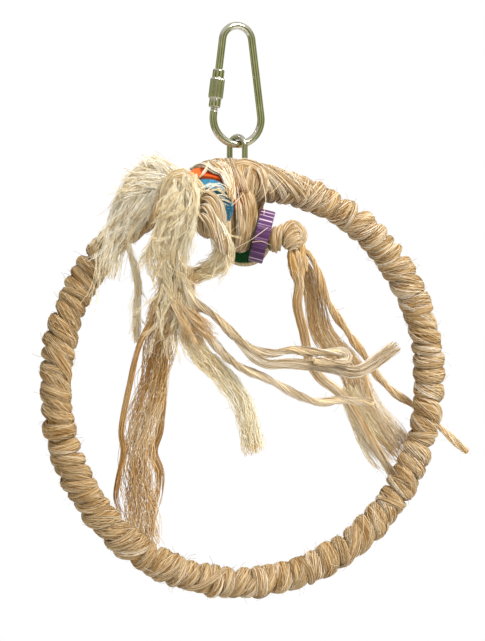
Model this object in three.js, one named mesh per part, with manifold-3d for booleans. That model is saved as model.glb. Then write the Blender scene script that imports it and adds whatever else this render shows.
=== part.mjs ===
// Bird rope ring: a steel wire hoop bound with sisal, hung by a chain link from a screw-gate quick link.
// A rope hitched round the hoop carries dyed wooden slices between its knots and ends in frayed tails.
// Millimetres, +Z up. The origin is the hang point, where a cage bar sits in the top bend of the quick link.
// The hoop lies in the XZ plane, and -Y is the side that the rope ends hang on.

import * as THREE from 'three';
import { mergeVertices } from 'three/addons/utils/BufferGeometryUtils.js';
import Module from 'manifold-3d';

const wasm = await Module();
wasm.setup();

// Quick link: a pear of bent rod, with a gate in its left leg that the sleeve nut closes
const LINK_ROD_DIAMETER = 3.6;
const LINK_INSIDE_HEIGHT = 53.1;
const LINK_TOP_BEND = 7.5;
const LINK_BOTTOM_BEND = 12.2;
const LINK_SIDES = 10;
const LINK_STEPS = 52;

// Sleeve nut: a fluted barrel between two plain collars, closed over the gate and screwed up to open it
const NUT_BARREL_LENGTH = 9.9;
const NUT_BARREL_DIAMETER = 7.0;
const NUT_COLLAR_LENGTH = 4.2;
const NUT_COLLAR_DIAMETER = 5.6;
const NUT_CHAMFER = 0.5;
const NUT_SEGMENTS = 16;
const NUT_FLUTES = 22;
const NUT_FLUTE_DEPTH = 0.3;
const NUT_THREAD_GAP = 0.35;
const NUT_ABOVE_BEND = 3.5;
const LOWER_STUD_IN_NUT = 4.5;
const GATE_GAP = 6.5;

// Chain link: a long oval of wire that rides on the quick link and holds the hoop
const CHAIN_WIRE_DIAMETER = 2.8;
const CHAIN_INSIDE_LENGTH = 23.2;
const CHAIN_INSIDE_WIDTH = 7.2;
const CHAIN_TURN = THREE.MathUtils.degToRad(26);
const CHAIN_SIDES = 8;
const CHAIN_BEND_STEPS = 9;

// Hoop: a wire ring, its tight first layer of sisal and the outer layer of turns
const HOOP_RADIUS = 96;
const HOOP_WIRE_DIAMETER = 4;
const HOOP_OFFSET = 6;
const HOOP_SIDES = 8;
const HOOP_STEPS = 48;
const UNDER_WRAP_LAYER = 1.45;
const UNDER_WRAP_GAP = 0.55;
const WRAP_STEPS_PER_TURN = 8;
const WRAP_SIDES = 5;
const WRAP_STRAND_WIDTH = 6.25;
const WRAP_STRAND_THICKNESS = 3;
const WRAP_TURN_GAP = 0.6;
const NOTCH_SIDE_GAP = 0.9;

// Toy rope: its hitch round the bound hoop, its wooden slices and its knots
const ROPE_DIAMETER = 6.2;
const ROPE_SIDES = 8;
const ROPE_STEPS = 84;
const SLICE_DIAMETER = 25.4;
const SLICE_THICKNESS = 7;
const SLICE_CHAMFER = 0.6;
const SLICE_BORE_GAP = 0.7;
const SLICE_SEGMENTS = 24;
const SLICE_SPACING = 2.4;
const SLICE_STANDOFF = 5.4;
const GREEN_STANDOFF = 9;
const KNOT_DIAMETER = 16;
const KNOT_COLLAR_DIAMETER = 11;
const KNOT_COLLAR_LENGTH = 4.5;
const KNOT_SEGMENTS = 16;
const FRONT_KNOT_WIDTH = 13;
const FRONT_KNOT_HEIGHT = 16;
const FRONT_KNOT_ACROSS = -1.8;
const FRONT_KNOT_FORWARD = -9.2;

// Stopper knot outlines: radius and height as shares of the first tuck's size, then of the round's radius
const TUCK_OUTLINE = [[0.8, 0], [1, 0.35], [0.92, 1]];
const ROUND_OUTLINE = [[0.86, 0.4], [1, 0.95], [0.88, 1.45], [0.5, 1.8], [0, 1.9]];

// Tails: sides of each, and steps along it beyond one for each point of its route
const TAIL_SIDES = 8;
const TAIL_EXTRA_STEPS = 4;

// Clearances between pieces that touch, between the rope's turns and between a slice and a knot
const SEAT_GAP = 0.35;
const HITCH_GAP = 0.8;
const SLICE_SIDE_GAP = 0.4;

// Directions that the rope ends leave the hoop in, and the side that flat tails show their faces to
const LEFT_END = new THREE.Vector3(-0.27, -0.72, -0.63).normalize();
const RIGHT_END = new THREE.Vector3(0.9, -0.34, -0.25).normalize();
const GREEN_END = new THREE.Vector3(-0.43, -0.86, 0.2).normalize();
const FACING = new THREE.Vector3(-0.35, -0.94, 0).normalize();

// Finishes
const plating = { color: 0x8e9060, roughness: 0.28, metalness: 1 };
const steel = { color: 0x8c8c84, roughness: 0.4, metalness: 1 };
const sisal = { color: 0xc8aa77, roughness: 0.9, metalness: 0 };
const darkSisal = { color: 0xae8d58, roughness: 0.9, metalness: 0 };
const paleSisal = { color: 0xdcc69b, roughness: 0.9, metalness: 0 };
const orangeDye = { color: 0xfa6420, roughness: 0.55, metalness: 0 };
const blueDye = { color: 0x3e95c6, roughness: 0.55, metalness: 0 };
const purpleDye = { color: 0x5e2e74, roughness: 0.55, metalness: 0 };
const greenDye = { color: 0x0e4a22, roughness: 0.55, metalness: 0 };

const UP = new THREE.Vector3(0, 1, 0);

function piece(name, geometry, finish) {
  const mesh = new THREE.Mesh(geometry, new THREE.MeshStandardMaterial(finish));
  mesh.name = name;
  return mesh;
}

// A closed skin over rings of points: an open run gets a flat cap at each end, a closed one meets itself
function skin(rings, closed = false) {
  const sides = rings[0].length;
  const spans = closed ? rings.length : rings.length - 1;
  const index = [];
  for (let ring = 0; ring < spans; ring += 1) {
    const here = ring * sides;
    const ahead = ((ring + 1) % rings.length) * sides;
    for (let side = 0; side < sides; side += 1) {
      const beside = (side + 1) % sides;
      index.push(here + side, here + beside, ahead + beside);
      index.push(here + side, ahead + beside, ahead + side);
    }
  }
  if (!closed) {
    const last = (rings.length - 1) * sides;
    for (let side = 1; side < sides - 1; side += 1) {
      index.push(0, side + 1, side);
      index.push(last, last + side, last + side + 1);
    }
  }
  const geometry = new THREE.BufferGeometry();
  const positions = rings.flat().flatMap((point) => point.toArray());
  geometry.setAttribute('position', new THREE.Float32BufferAttribute(positions, 3));
  geometry.setIndex(index);
  geometry.computeVertexNormals();
  return geometry;
}

// One ring of points round a centre: an oval across the direction of travel, flat side towards facing
function ovalRing(centre, travel, facing, halfWidth, halfThickness, sides, startAngle = 0) {
  const thick = facing.clone().addScaledVector(travel, -facing.dot(travel)).normalize();
  const wide = thick.clone().cross(travel);
  const ring = [];
  for (let side = 0; side < sides; side += 1) {
    const angle = startAngle + (side * 2 * Math.PI) / sides;
    const point = centre.clone().addScaledVector(wide, halfWidth * Math.cos(angle));
    ring.push(point.addScaledVector(thick, halfThickness * Math.sin(angle)));
  }
  return ring;
}

function circle(radius) {
  return new THREE.Shape().absarc(0, 0, radius, 0, 2 * Math.PI, false);
}

function rod(curve, diameter, sides, steps) {
  const options = { steps, curveSegments: sides / 2, bevelEnabled: false, extrudePath: curve };
  return new THREE.ExtrudeGeometry(circle(diameter / 2), options);
}

// Solids that are joined or cut
function solid(geometry) {
  const bare = geometry.clone();
  bare.deleteAttribute('normal');
  bare.deleteAttribute('uv');
  const welded = mergeVertices(bare);
  return new wasm.Manifold(new wasm.Mesh({
    numProp: 3,
    vertProperties: new Float32Array(welded.attributes.position.array),
    triVerts: new Uint32Array(welded.index.array),
  }));
}

function geometryOf(manifold) {
  const mesh = manifold.getMesh();
  const geometry = new THREE.BufferGeometry();
  geometry.setAttribute('position', new THREE.Float32BufferAttribute(mesh.vertProperties, 3));
  geometry.setIndex(Array.from(mesh.triVerts));
  geometry.computeVertexNormals();
  return geometry;
}

// A drawn path in the XZ plane
class UprightPath extends THREE.Curve {
  constructor(path) {
    super();
    this.path = path;
  }

  getPoint(t, target = new THREE.Vector3()) {
    const flat = this.path.getPoint(t);
    return target.set(flat.x, 0, flat.y);
  }
}

// Quick link: where its bends and its left leg lie
const linkRodRadius = LINK_ROD_DIAMETER / 2;
const topBendZ = linkRodRadius - LINK_TOP_BEND;
const barZ = -LINK_INSIDE_HEIGHT - linkRodRadius;
const bottomBendZ = barZ + LINK_BOTTOM_BEND;
const legLean = Math.asin((LINK_BOTTOM_BEND - LINK_TOP_BEND) / (topBendZ - bottomBendZ));
const legUp = new THREE.Vector2(Math.sin(legLean), Math.cos(legLean));
const legOut = new THREE.Vector2(-Math.cos(legLean), Math.sin(legLean));
const legFoot = new THREE.Vector2(0, bottomBendZ).addScaledVector(legOut, LINK_BOTTOM_BEND);
const onLeg = (height) => legFoot.clone().addScaledVector(legUp, height);

const nutLength = NUT_BARREL_LENGTH + 2 * NUT_COLLAR_LENGTH;
const lowerStudTop = NUT_ABOVE_BEND + LOWER_STUD_IN_NUT;
const upperStudEnd = lowerStudTop + GATE_GAP;

function quickLink() {
  const start = onLeg(lowerStudTop);
  const end = onLeg(upperStudEnd);
  const path = new THREE.Path().moveTo(start.x, start.y).lineTo(legFoot.x, legFoot.y);
  path.absarc(0, bottomBendZ, LINK_BOTTOM_BEND, Math.PI - legLean, 2 * Math.PI + legLean, false);
  path.absarc(0, topBendZ, LINK_TOP_BEND, legLean, Math.PI - legLean, false);
  path.lineTo(end.x, end.y);
  return piece('quick_link', rod(new UprightPath(path), LINK_ROD_DIAMETER, LINK_SIDES, LINK_STEPS), plating);
}

function collar(from) {
  const radius = NUT_COLLAR_DIAMETER / 2;
  const profile = [
    [0, from],
    [radius - NUT_CHAMFER, from],
    [radius, from + NUT_CHAMFER],
    [radius, from + NUT_COLLAR_LENGTH - NUT_CHAMFER],
    [radius - NUT_CHAMFER, from + NUT_COLLAR_LENGTH],
    [0, from + NUT_COLLAR_LENGTH],
  ].map(([r, height]) => new THREE.Vector2(r, height));
  return new THREE.LatheGeometry(profile, NUT_SEGMENTS).rotateX(Math.PI / 2);
}

function flutedBarrel() {
  const points = [];
  for (let flute = 0; flute < NUT_FLUTES; flute += 1) {
    for (const half of [0, 1]) {
      const radius = NUT_BARREL_DIAMETER / 2 - half * NUT_FLUTE_DEPTH;
      const angle = ((flute + half / 2) * 2 * Math.PI) / NUT_FLUTES;
      points.push(new THREE.Vector2(radius * Math.cos(angle), radius * Math.sin(angle)));
    }
  }
  const overlap = NUT_CHAMFER;
  const depth = NUT_BARREL_LENGTH + 2 * overlap;
  const barrel = new THREE.ExtrudeGeometry(new THREE.Shape(points), { depth, bevelEnabled: false });
  return barrel.translate(0, 0, NUT_COLLAR_LENGTH - overlap);
}

function sleeveNut() {
  const boreRadius = linkRodRadius + NUT_THREAD_GAP;
  const bore = new THREE.CylinderGeometry(boreRadius, boreRadius, 2 * nutLength, NUT_SEGMENTS).rotateX(Math.PI / 2);
  const body = solid(flutedBarrel())
    .add(solid(collar(0)))
    .add(solid(collar(nutLength - NUT_COLLAR_LENGTH)))
    .subtract(solid(bore.translate(0, 0, nutLength / 2)));
  const nut = piece('quick_link_nut', geometryOf(body), plating);
  const foot = onLeg(NUT_ABOVE_BEND);
  nut.position.set(foot.x, 0, foot.y);
  nut.rotation.y = legLean;
  return nut;
}

// Chain link: its top bend rides on the quick link's bottom bar, its bottom bend carries the hoop
const chainRadius = CHAIN_WIRE_DIAMETER / 2;
const chainBend = CHAIN_INSIDE_WIDTH / 2 + chainRadius;
const chainTopInside = barZ + linkRodRadius + SEAT_GAP;
const chainBottomInside = chainTopInside - CHAIN_INSIDE_LENGTH;
const seatZ = chainBottomInside + SEAT_GAP + HOOP_WIRE_DIAMETER / 2;

function chainLink() {
  const halfStraight = CHAIN_INSIDE_LENGTH / 2 + chainRadius - chainBend;
  const across = new THREE.Vector3(Math.sin(CHAIN_TURN), -Math.cos(CHAIN_TURN), 0);
  const facing = new THREE.Vector3(Math.cos(CHAIN_TURN), Math.sin(CHAIN_TURN), 0);
  const rings = [];
  for (const end of [1, -1]) {
    for (let step = 0; step <= CHAIN_BEND_STEPS; step += 1) {
      const angle = (step * Math.PI) / CHAIN_BEND_STEPS;
      const centre = across.clone().multiplyScalar(end * chainBend * Math.cos(angle));
      centre.z = end * (halfStraight + chainBend * Math.sin(angle));
      const travel = across.clone().multiplyScalar(-end * Math.sin(angle));
      travel.z = end * Math.cos(angle);
      rings.push(ovalRing(centre, travel, facing, chainRadius, chainRadius, CHAIN_SIDES));
    }
  }
  const link = piece('chain_link', skin(rings, true), steel);
  link.position.z = (chainTopInside + chainBottomInside) / 2;
  return link;
}

// Hoop: places are counted from its seat in the chain link, which is the origin of the ring group
const hoopCentre = new THREE.Vector3(HOOP_OFFSET, 0, -Math.sqrt(HOOP_RADIUS ** 2 - HOOP_OFFSET ** 2));
const seatAngle = Math.asin(-HOOP_OFFSET / HOOP_RADIUS);
const notchWidth = 2 * (chainBend * Math.sin(CHAIN_TURN) + chainRadius + NOTCH_SIDE_GAP);
const notchAngle = notchWidth / HOOP_RADIUS;
const underWrapRadius = HOOP_WIRE_DIAMETER / 2 + UNDER_WRAP_GAP + UNDER_WRAP_LAYER;
const hoopOut = (angle) => new THREE.Vector3(Math.sin(angle), 0, Math.cos(angle));
const hoopAlong = (angle) => new THREE.Vector3(Math.cos(angle), 0, -Math.sin(angle));
const onHoop = (angle) => hoopCentre.clone().addScaledVector(hoopOut(angle), HOOP_RADIUS);
const hoopAngleAt = (x) => Math.asin((x - HOOP_OFFSET) / HOOP_RADIUS);

class HoopArc extends THREE.Curve {
  constructor(from, to) {
    super();
    this.from = from;
    this.to = to;
  }

  getPoint(t, target = new THREE.Vector3()) {
    return target.copy(onHoop(THREE.MathUtils.lerp(this.from, this.to, t)));
  }
}

function hoopWire() {
  const torus = new THREE.TorusGeometry(HOOP_RADIUS, HOOP_WIRE_DIAMETER / 2, HOOP_SIDES, HOOP_STEPS);
  torus.rotateX(Math.PI / 2).rotateY(seatAngle).translate(hoopCentre.x, hoopCentre.y, hoopCentre.z);
  return piece('hoop_wire', torus, steel);
}

function underWrap() {
  const section = circle(underWrapRadius);
  section.holes.push(circle(HOOP_WIRE_DIAMETER / 2 + UNDER_WRAP_GAP));
  const arc = new HoopArc(seatAngle + notchAngle / 2, seatAngle + 2 * Math.PI - notchAngle / 2);
  const options = { steps: HOOP_STEPS, curveSegments: HOOP_SIDES / 2, bevelEnabled: false, extrudePath: arc };
  return piece('ring_under_wrap', new THREE.ExtrudeGeometry(section, options), darkSisal);
}

// Outer wrap: one flat strand wound round the bound hoop from one side of the notch to the other
const strandUnderside = (WRAP_STRAND_THICKNESS / 2) * Math.cos(Math.PI / WRAP_SIDES);
const strandSpan = WRAP_STRAND_WIDTH * Math.cos(Math.PI / (2 * WRAP_SIDES));
const wrapRadius = (underWrapRadius + SEAT_GAP + strandUnderside) / Math.cos(Math.PI / WRAP_STEPS_PER_TURN);
const wrapOutside = wrapRadius + WRAP_STRAND_THICKNESS / 2;
const wrapClear = notchAngle + WRAP_STRAND_WIDTH / HOOP_RADIUS;
const wrapSweep = 2 * Math.PI - wrapClear;
const wrapTurns = Math.floor(((HOOP_RADIUS - wrapRadius) * wrapSweep) / (strandSpan + WRAP_TURN_GAP));
const crownUp = Math.PI / 2;

function wrapPoint(turn) {
  const angle = seatAngle + wrapClear / 2 + (turn / wrapTurns) * wrapSweep;
  const lift = turn * 2 * Math.PI;
  const out = hoopOut(angle).multiplyScalar(Math.cos(lift));
  out.y = Math.sin(lift);
  return { centre: onHoop(angle).addScaledVector(out, wrapRadius), out };
}

// The least distance from a corner of one turn to an edge of the next
function leastWrapGap(rings) {
  const edge = new THREE.Line3();
  const nearest = new THREE.Vector3();
  let least = Infinity;
  rings.forEach((ring, first) => {
    const end = Math.min(rings.length - 1, first + 2 * WRAP_STEPS_PER_TURN);
    for (let second = first + WRAP_STEPS_PER_TURN / 2; second < end; second += 1) {
      rings[second].forEach((corner, side) => {
        edge.set(corner, rings[second + 1][side]);
        for (const point of ring) {
          edge.closestPointToPoint(point, true, nearest);
          least = Math.min(least, point.distanceTo(nearest));
        }
      });
    }
  });
  return least;
}

function outerWrap() {
  const total = wrapTurns * WRAP_STEPS_PER_TURN;
  const halfWidth = WRAP_STRAND_WIDTH / 2;
  const halfThickness = WRAP_STRAND_THICKNESS / 2;
  const section = (centre, travel, out) =>
    ovalRing(centre, travel, out, halfWidth, halfThickness, WRAP_SIDES, crownUp);
  const rings = [];
  for (let step = 0; step <= total; step += 1) {
    const { centre, out } = wrapPoint(step / WRAP_STEPS_PER_TURN);
    const before = wrapPoint((step - 0.5) / WRAP_STEPS_PER_TURN).centre;
    const after = wrapPoint((step + 0.5) / WRAP_STEPS_PER_TURN).centre;
    const travel = after.sub(before).normalize();
    if (step === 0) {
      rings.push(section(centre.clone().addScaledVector(travel, -WRAP_STRAND_THICKNESS), travel, out));
    }
    rings.push(section(centre, travel, out));
    if (step === total) {
      rings.push(section(centre.clone().addScaledVector(travel, WRAP_STRAND_THICKNESS), travel, out));
    }
  }
  console.log(`least gap between turns of the wrap: ${leastWrapGap(rings).toFixed(2)} mm`);
  return piece('ring_wrap', skin(rings), sisal);
}

// Toy rope: the hitch goes over the hoop on the left of the chain link and twice on its right
const ropeRadius = ROPE_DIAMETER / 2;
const hitchRadius = wrapOutside + HITCH_GAP + ropeRadius;

// A point of the hitch: x along the hoop and degrees round it, from the front over the top to the back
function hitchPoint(x, degrees) {
  const angle = hoopAngleAt(x);
  const round = THREE.MathUtils.degToRad(degrees);
  const out = hoopOut(angle).multiplyScalar(Math.sin(round));
  out.y = -Math.cos(round);
  return onHoop(angle).addScaledVector(out, hitchRadius);
}

const HITCH = [
  [-18.6, 16], [-16.2, 48], [-12.8, 90], [-9.5, 130], [-7.5, 175], [-5.5, 215], [-3.4, 255], [-1.4, 295],
  [0.4, 335], [2.8, 370], [6.3, 410], [7.9, 450], [8.9, 490], [9.6, 540], [9.4, 590], [9.2, 640],
  [9.3, 690], [10.2, 730], [12.6, 770], [14.6, 810], [16, 850], [16.6, 895],
];

// Below the hitch the rope drops behind the hoop and comes forward through the green slice
const HITCH_DROP = [[16.6, 14.2, -10], [15.4, 16.4, -19]];

const leftExit = hitchPoint(...HITCH[0]);
const alongLeft = (distance) => leftExit.clone().addScaledVector(LEFT_END, distance);
const orangeAt = SLICE_STANDOFF + SLICE_THICKNESS / 2;
const blueAt = orangeAt + SLICE_THICKNESS + SLICE_SPACING;
const leftKnotAt = blueAt + SLICE_THICKNESS / 2 + SLICE_SIDE_GAP;

const frontKnotZ = -(hitchRadius + ropeRadius + SEAT_GAP + FRONT_KNOT_HEIGHT / 2);
const frontKnotCentre = new THREE.Vector3(FRONT_KNOT_ACROSS, FRONT_KNOT_FORWARD, frontKnotZ);

// How far the front knot's oval reaches from its centre along a direction
function frontKnotReach(direction) {
  const round = Math.hypot(direction.x, direction.y) / (FRONT_KNOT_WIDTH / 2);
  return 1 / Math.hypot(round, direction.z / (FRONT_KNOT_HEIGHT / 2));
}

const alongRight = (distance) => frontKnotCentre.clone().addScaledVector(RIGHT_END, distance);
const purpleAt = frontKnotReach(RIGHT_END) + SLICE_SIDE_GAP + SLICE_THICKNESS / 2;
const rightKnotAt = purpleAt + SLICE_THICKNESS / 2 + SLICE_SIDE_GAP;
const alongGreen = (distance) => frontKnotCentre.clone().addScaledVector(GREEN_END, -distance);
const greenAt = frontKnotReach(GREEN_END) + GREEN_STANDOFF + SLICE_THICKNESS / 2;
const behindGreen = greenAt + SLICE_THICKNESS / 2;

function toyRope() {
  const points = [
    alongLeft(leftKnotAt - SEAT_GAP),
    alongLeft(blueAt),
    alongLeft(orangeAt),
    ...HITCH.map(([x, degrees]) => hitchPoint(x, degrees)),
    ...HITCH_DROP.map((point) => new THREE.Vector3(...point)),
    alongGreen(behindGreen + ROPE_DIAMETER),
    alongGreen(greenAt),
    alongGreen(frontKnotReach(GREEN_END) + 2 * SEAT_GAP),
  ];
  const route = new THREE.CatmullRomCurve3(points, false, 'catmullrom');
  return piece('toy_rope', rod(route, ROPE_DIAMETER, ROPE_SIDES, ROPE_STEPS), sisal);
}

// A turned shape whose axis starts at a place and points along a direction
function turned(name, profile, segments, place, direction, finish) {
  const points = profile.map(([radius, height]) => new THREE.Vector2(radius, height));
  const mesh = piece(name, new THREE.LatheGeometry(points, segments), finish);
  mesh.position.copy(place);
  mesh.quaternion.setFromUnitVectors(UP, direction);
  return mesh;
}

function woodSlice(name, place, direction, finish) {
  const bore = ropeRadius + SLICE_BORE_GAP;
  const rim = SLICE_DIAMETER / 2;
  const half = SLICE_THICKNESS / 2;
  const profile = [
    [bore, -half],
    [rim - SLICE_CHAMFER, -half],
    [rim, -half + SLICE_CHAMFER],
    [rim, half - SLICE_CHAMFER],
    [rim - SLICE_CHAMFER, half],
    [bore, half],
    [bore, -half],
  ];
  return turned(name, profile, SLICE_SEGMENTS, place, direction, finish);
}

// A stopper knot: the rope's neck, the collar of its first tuck and the round of its second
function stopperKnot(name, place, direction, neck) {
  const collarRadius = KNOT_COLLAR_DIAMETER / 2;
  const ball = KNOT_DIAMETER / 2;
  const waist = KNOT_COLLAR_LENGTH;
  const profile = [[0, -neck]];
  if (neck > 0) {
    profile.push([ropeRadius, -neck], [ropeRadius, 0]);
  }
  profile.push(...TUCK_OUTLINE.map(([across, along]) => [collarRadius * across, waist * along]));
  profile.push(...ROUND_OUTLINE.map(([across, along]) => [ball * across, waist + ball * along]));
  return turned(name, profile, KNOT_SEGMENTS, place, direction, sisal);
}

function frontKnot() {
  const ball = new THREE.SphereGeometry(FRONT_KNOT_WIDTH / 2, KNOT_SEGMENTS, KNOT_SEGMENTS / 2);
  const knot = piece('front_knot', ball.rotateX(Math.PI / 2), sisal);
  knot.scale.z = FRONT_KNOT_HEIGHT / FRONT_KNOT_WIDTH;
  knot.position.copy(frontKnotCentre);
  return knot;
}

// Frayed tails: a hand-laid route from the seat, and the strand's width at its start and end, and thickness
const TAILS = [
  ['left_bundle', 9, 10.5, 5.5, paleSisal, [
    [-31, -35.9, -13.2], [-35, -36.3, -5.5], [-40, -35.2, -0.5], [-44, -33.5, -4.5],
    [-44.5, -32, -15.5], [-43, -30, -29], [-41.5, -26, -42.5], [-41, -22, -54.5],
  ]],
  ['left_tuft', 9, 13, 4.5, paleSisal, [
    [-38.5, -29.4, -6], [-42, -28.4, 0.5], [-48, -21.5, 4.5], [-55, -14.5, -0.5],
    [-60.5, -12.5, -11.5], [-64.5, -12, -28], [-67.3, -12, -40],
  ]],
  ['left_wisp', 3.4, 3.4, 3, paleSisal, [
    [-58.5, -16, -33.5], [-55.5, -16, -44], [-54.5, -15.5, -52.5], [-55, -14.5, -61], [-54.5, -13, -73],
  ]],
  ['left_curl', 5, 7.5, 3.5, paleSisal, [
    [-31.8, -41.5, -13.6], [-29.3, -45, -17.2], [-24.5, -45, -25.5], [-20.3, -39.5, -33.8],
    [-23, -35, -40.5], [-30.3, -31.5, -43.9],
  ]],
  ['left_dark_tail', 11, 17, 4, darkSisal, [
    [-42, -21, -55.5], [-44.5, -16, -75], [-46.5, -7, -99.5], [-48.5, 2, -118],
    [-48, 8, -136.5], [-45, 12.5, -152.5], [-42.5, 13.5, -168],
  ]],
  ['left_pale_tail', 7, 9, 3, paleSisal, [
    [-39.5, -27.5, -53], [-36, -26, -64], [-32, -24, -73], [-26, -22.5, -82],
    [-14.5, -21, -92], [-5, -21, -105], [0, -20, -123.5],
  ]],
  ['left_upper_yarn', 4, 4, 4, sisal, [
    [-39, -31, -46], [-33, -32, -56], [-22, -31, -63.5], [-12.5, -31, -72.5], [-2.5, -31, -79],
    [7, -31, -80.5], [15, -31, -79], [23.5, -31, -80], [33, -31, -80.5], [40.5, -31, -80],
  ]],
  ['left_ribbon', 5, 6, 2.5, darkSisal, [
    [4, -31, -85.6], [12.5, -31, -85.5], [20.5, -31, -85.8], [35.5, -30, -87.5],
    [49, -29, -90], [59, -28, -86], [69, -27, -79.5],
  ]],
  ['left_lower_yarn', 4, 4, 4, sisal, [
    [-33.9, -24, -50], [-29.8, -24.5, -63], [-24.5, -25, -71.5], [-17.5, -26, -79.5], [-9, -27, -86.5],
    [2, -28, -91.5], [13, -28, -97], [21.5, -28, -101], [31, -27, -104], [43, -26, -103.5], [57, -25, -105],
  ]],
  ['right_inner_tail', 4.5, 4.5, 4, sisal, [
    [20.2, -20, -38.6], [24.5, -18.5, -47.5], [24.5, -16, -58.5], [29, -14, -72], [33, -12, -86],
    [40, -9, -94], [49.5, -6, -100], [58.5, -2, -108], [74, 6, -127], [86, 11, -142.5],
  ]],
  ['right_broad_tail', 8, 16, 4, sisal, [
    [25.9, -16.3, -37], [34, -11.5, -51.5], [39, -8, -68], [46.5, -5, -78],
    [58.5, 0, -88], [65.5, 4, -99.5], [73, 8.5, -111.5], [90.5, 13, -129.5],
  ]],
  ['right_yarn', 3.2, 3.2, 3.2, sisal, [
    [29.2, -20.6, -34.8], [34, -19.5, -43], [38.5, -17, -53.5], [46, -13, -63.5], [57, -7, -75],
    [66.5, -2, -84], [75, 3, -93.5], [86.5, 8, -102.5], [99, 11, -109.5], [114.5, 11.5, -121.5],
    [126.5, 11.5, -131.5],
  ]],
];

function tail([name, width, endWidth, thickness, finish, route]) {
  const curve = new THREE.CatmullRomCurve3(route.map((point) => new THREE.Vector3(...point)), false, 'catmullrom');
  const steps = route.length + TAIL_EXTRA_STEPS;
  const rings = [];
  for (let step = 0; step <= steps; step += 1) {
    const t = step / steps;
    const halfWidth = THREE.MathUtils.lerp(width, endWidth, t) / 2;
    rings.push(ovalRing(curve.getPoint(t), curve.getTangent(t), FACING, halfWidth, thickness / 2, TAIL_SIDES));
  }
  return piece(name, skin(rings), finish);
}

const ring = new THREE.Group();
ring.position.z = seatZ;
ring.add(
  hoopWire(),
  underWrap(),
  outerWrap(),
  toyRope(),
  frontKnot(),
  stopperKnot('left_knot', alongLeft(leftKnotAt), LEFT_END, 0),
  stopperKnot('right_knot', alongRight(rightKnotAt), RIGHT_END, SLICE_THICKNESS + SLICE_SIDE_GAP),
  woodSlice('orange_slice', alongLeft(orangeAt), LEFT_END, orangeDye),
  woodSlice('blue_slice', alongLeft(blueAt), LEFT_END, blueDye),
  woodSlice('purple_slice', alongRight(purpleAt), RIGHT_END, purpleDye),
  woodSlice('green_slice', alongGreen(greenAt), GREEN_END, greenDye),
  ...TAILS.map(tail),
);

const birdRopeRing = new THREE.Group();
birdRopeRing.add(quickLink(), sleeveNut(), chainLink(), ring);

export default birdRopeRing;
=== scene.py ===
"""Looks of the bird rope ring: nickel quick link, bound hoop, hitched rope, wood slices and frayed tails.

Metres, +Z up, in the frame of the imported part. Sizes below are in millimetres and repeat the part's own.
"""

import math
import random

import bmesh
import bpy
import numpy as np
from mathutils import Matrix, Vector


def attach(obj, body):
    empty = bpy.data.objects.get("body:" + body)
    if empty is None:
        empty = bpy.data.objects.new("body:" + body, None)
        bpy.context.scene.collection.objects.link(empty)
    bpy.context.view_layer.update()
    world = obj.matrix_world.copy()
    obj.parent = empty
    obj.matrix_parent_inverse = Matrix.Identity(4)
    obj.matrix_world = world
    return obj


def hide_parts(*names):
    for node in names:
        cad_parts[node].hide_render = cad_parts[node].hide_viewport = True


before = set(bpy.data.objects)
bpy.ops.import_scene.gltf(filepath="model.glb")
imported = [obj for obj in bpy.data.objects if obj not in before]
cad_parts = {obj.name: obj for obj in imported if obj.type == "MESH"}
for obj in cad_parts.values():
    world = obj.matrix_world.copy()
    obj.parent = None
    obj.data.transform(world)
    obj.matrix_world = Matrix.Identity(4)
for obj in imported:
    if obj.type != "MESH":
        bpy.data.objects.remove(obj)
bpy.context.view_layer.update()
MM = 0.001
FULL_TURN = 2 * math.pi
UP = np.array([0.0, 0.0, 1.0])
# Level direction from the object to the eye
FACING = np.array([-0.349, -0.937, 0.0])

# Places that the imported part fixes: the link's bar, the hoop and its seat, the rope's ends, knots and slices
BAR_Z = -54.9
SEAT_Z = -73.6
SEAT = np.array([0, 0, SEAT_Z])
HOOP_RADIUS = 96.0
HOOP_OFFSET = 6.0
HOOP_CENTRE = np.array([HOOP_OFFSET, 0, SEAT_Z - math.sqrt(HOOP_RADIUS**2 - HOOP_OFFSET**2)])
SEAT_ANGLE = math.asin(-HOOP_OFFSET / HOOP_RADIUS)
NOTCH_LENGTH = 9.0
NOTCH_ANGLE = NOTCH_LENGTH / HOOP_RADIUS
LEFT_END = np.array([-0.27161, -0.72429, -0.63375])
RIGHT_END = np.array([0.9054, -0.34204, -0.2515])
GREEN_END = np.array([-0.43784, -0.87568, 0.20365])
FRONT_KNOT = np.array([-1.8, -9.2, -96.47])
LEFT_KNOT = np.array([-25.436, -27.059, -87.644])
RIGHT_KNOT = np.array([11.212, -14.115, -100.086])
ORANGE = np.array([-21.824, -17.426, -79.215])
BLUE = np.array([-24.377, -24.234, -85.172])
PURPLE = np.array([7.68, -12.782, -99.105])
GREEN = np.array([6.539, 7.479, -100.351])
SLICE_RADIUS = 12.7
SLICE_HALF = 3.5
SLICE_BORE = 3.8


# Camera: the photograph's viewing angle, 0.48 mm to a picture element at the ring

PIXEL = 0.48 * MM
PICTURE_HEIGHT = 641
CAMERA_DISTANCE = 0.95
CAMERA_AZIMUTH = math.radians(-20.5)
CAMERA_ELEVATION = math.radians(1.0)
CAMERA_TARGET = np.array([2.7, 0, -139.3]) * MM


def place_camera():
    lens = bpy.data.cameras.new("camera")
    camera = bpy.data.objects.new("camera", lens)
    bpy.context.scene.collection.objects.link(camera)
    flat = math.cos(CAMERA_ELEVATION)
    back = (math.sin(CAMERA_AZIMUTH) * flat, -math.cos(CAMERA_AZIMUTH) * flat, math.sin(CAMERA_ELEVATION))
    camera.location = CAMERA_TARGET + CAMERA_DISTANCE * np.array(back)
    camera.rotation_euler = (math.pi / 2 - CAMERA_ELEVATION, 0, CAMERA_AZIMUTH)
    lens.lens = lens.sensor_width * CAMERA_DISTANCE / (PICTURE_HEIGHT * PIXEL)
    bpy.context.scene.camera = camera


place_camera()


# Nodes and colours

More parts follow.
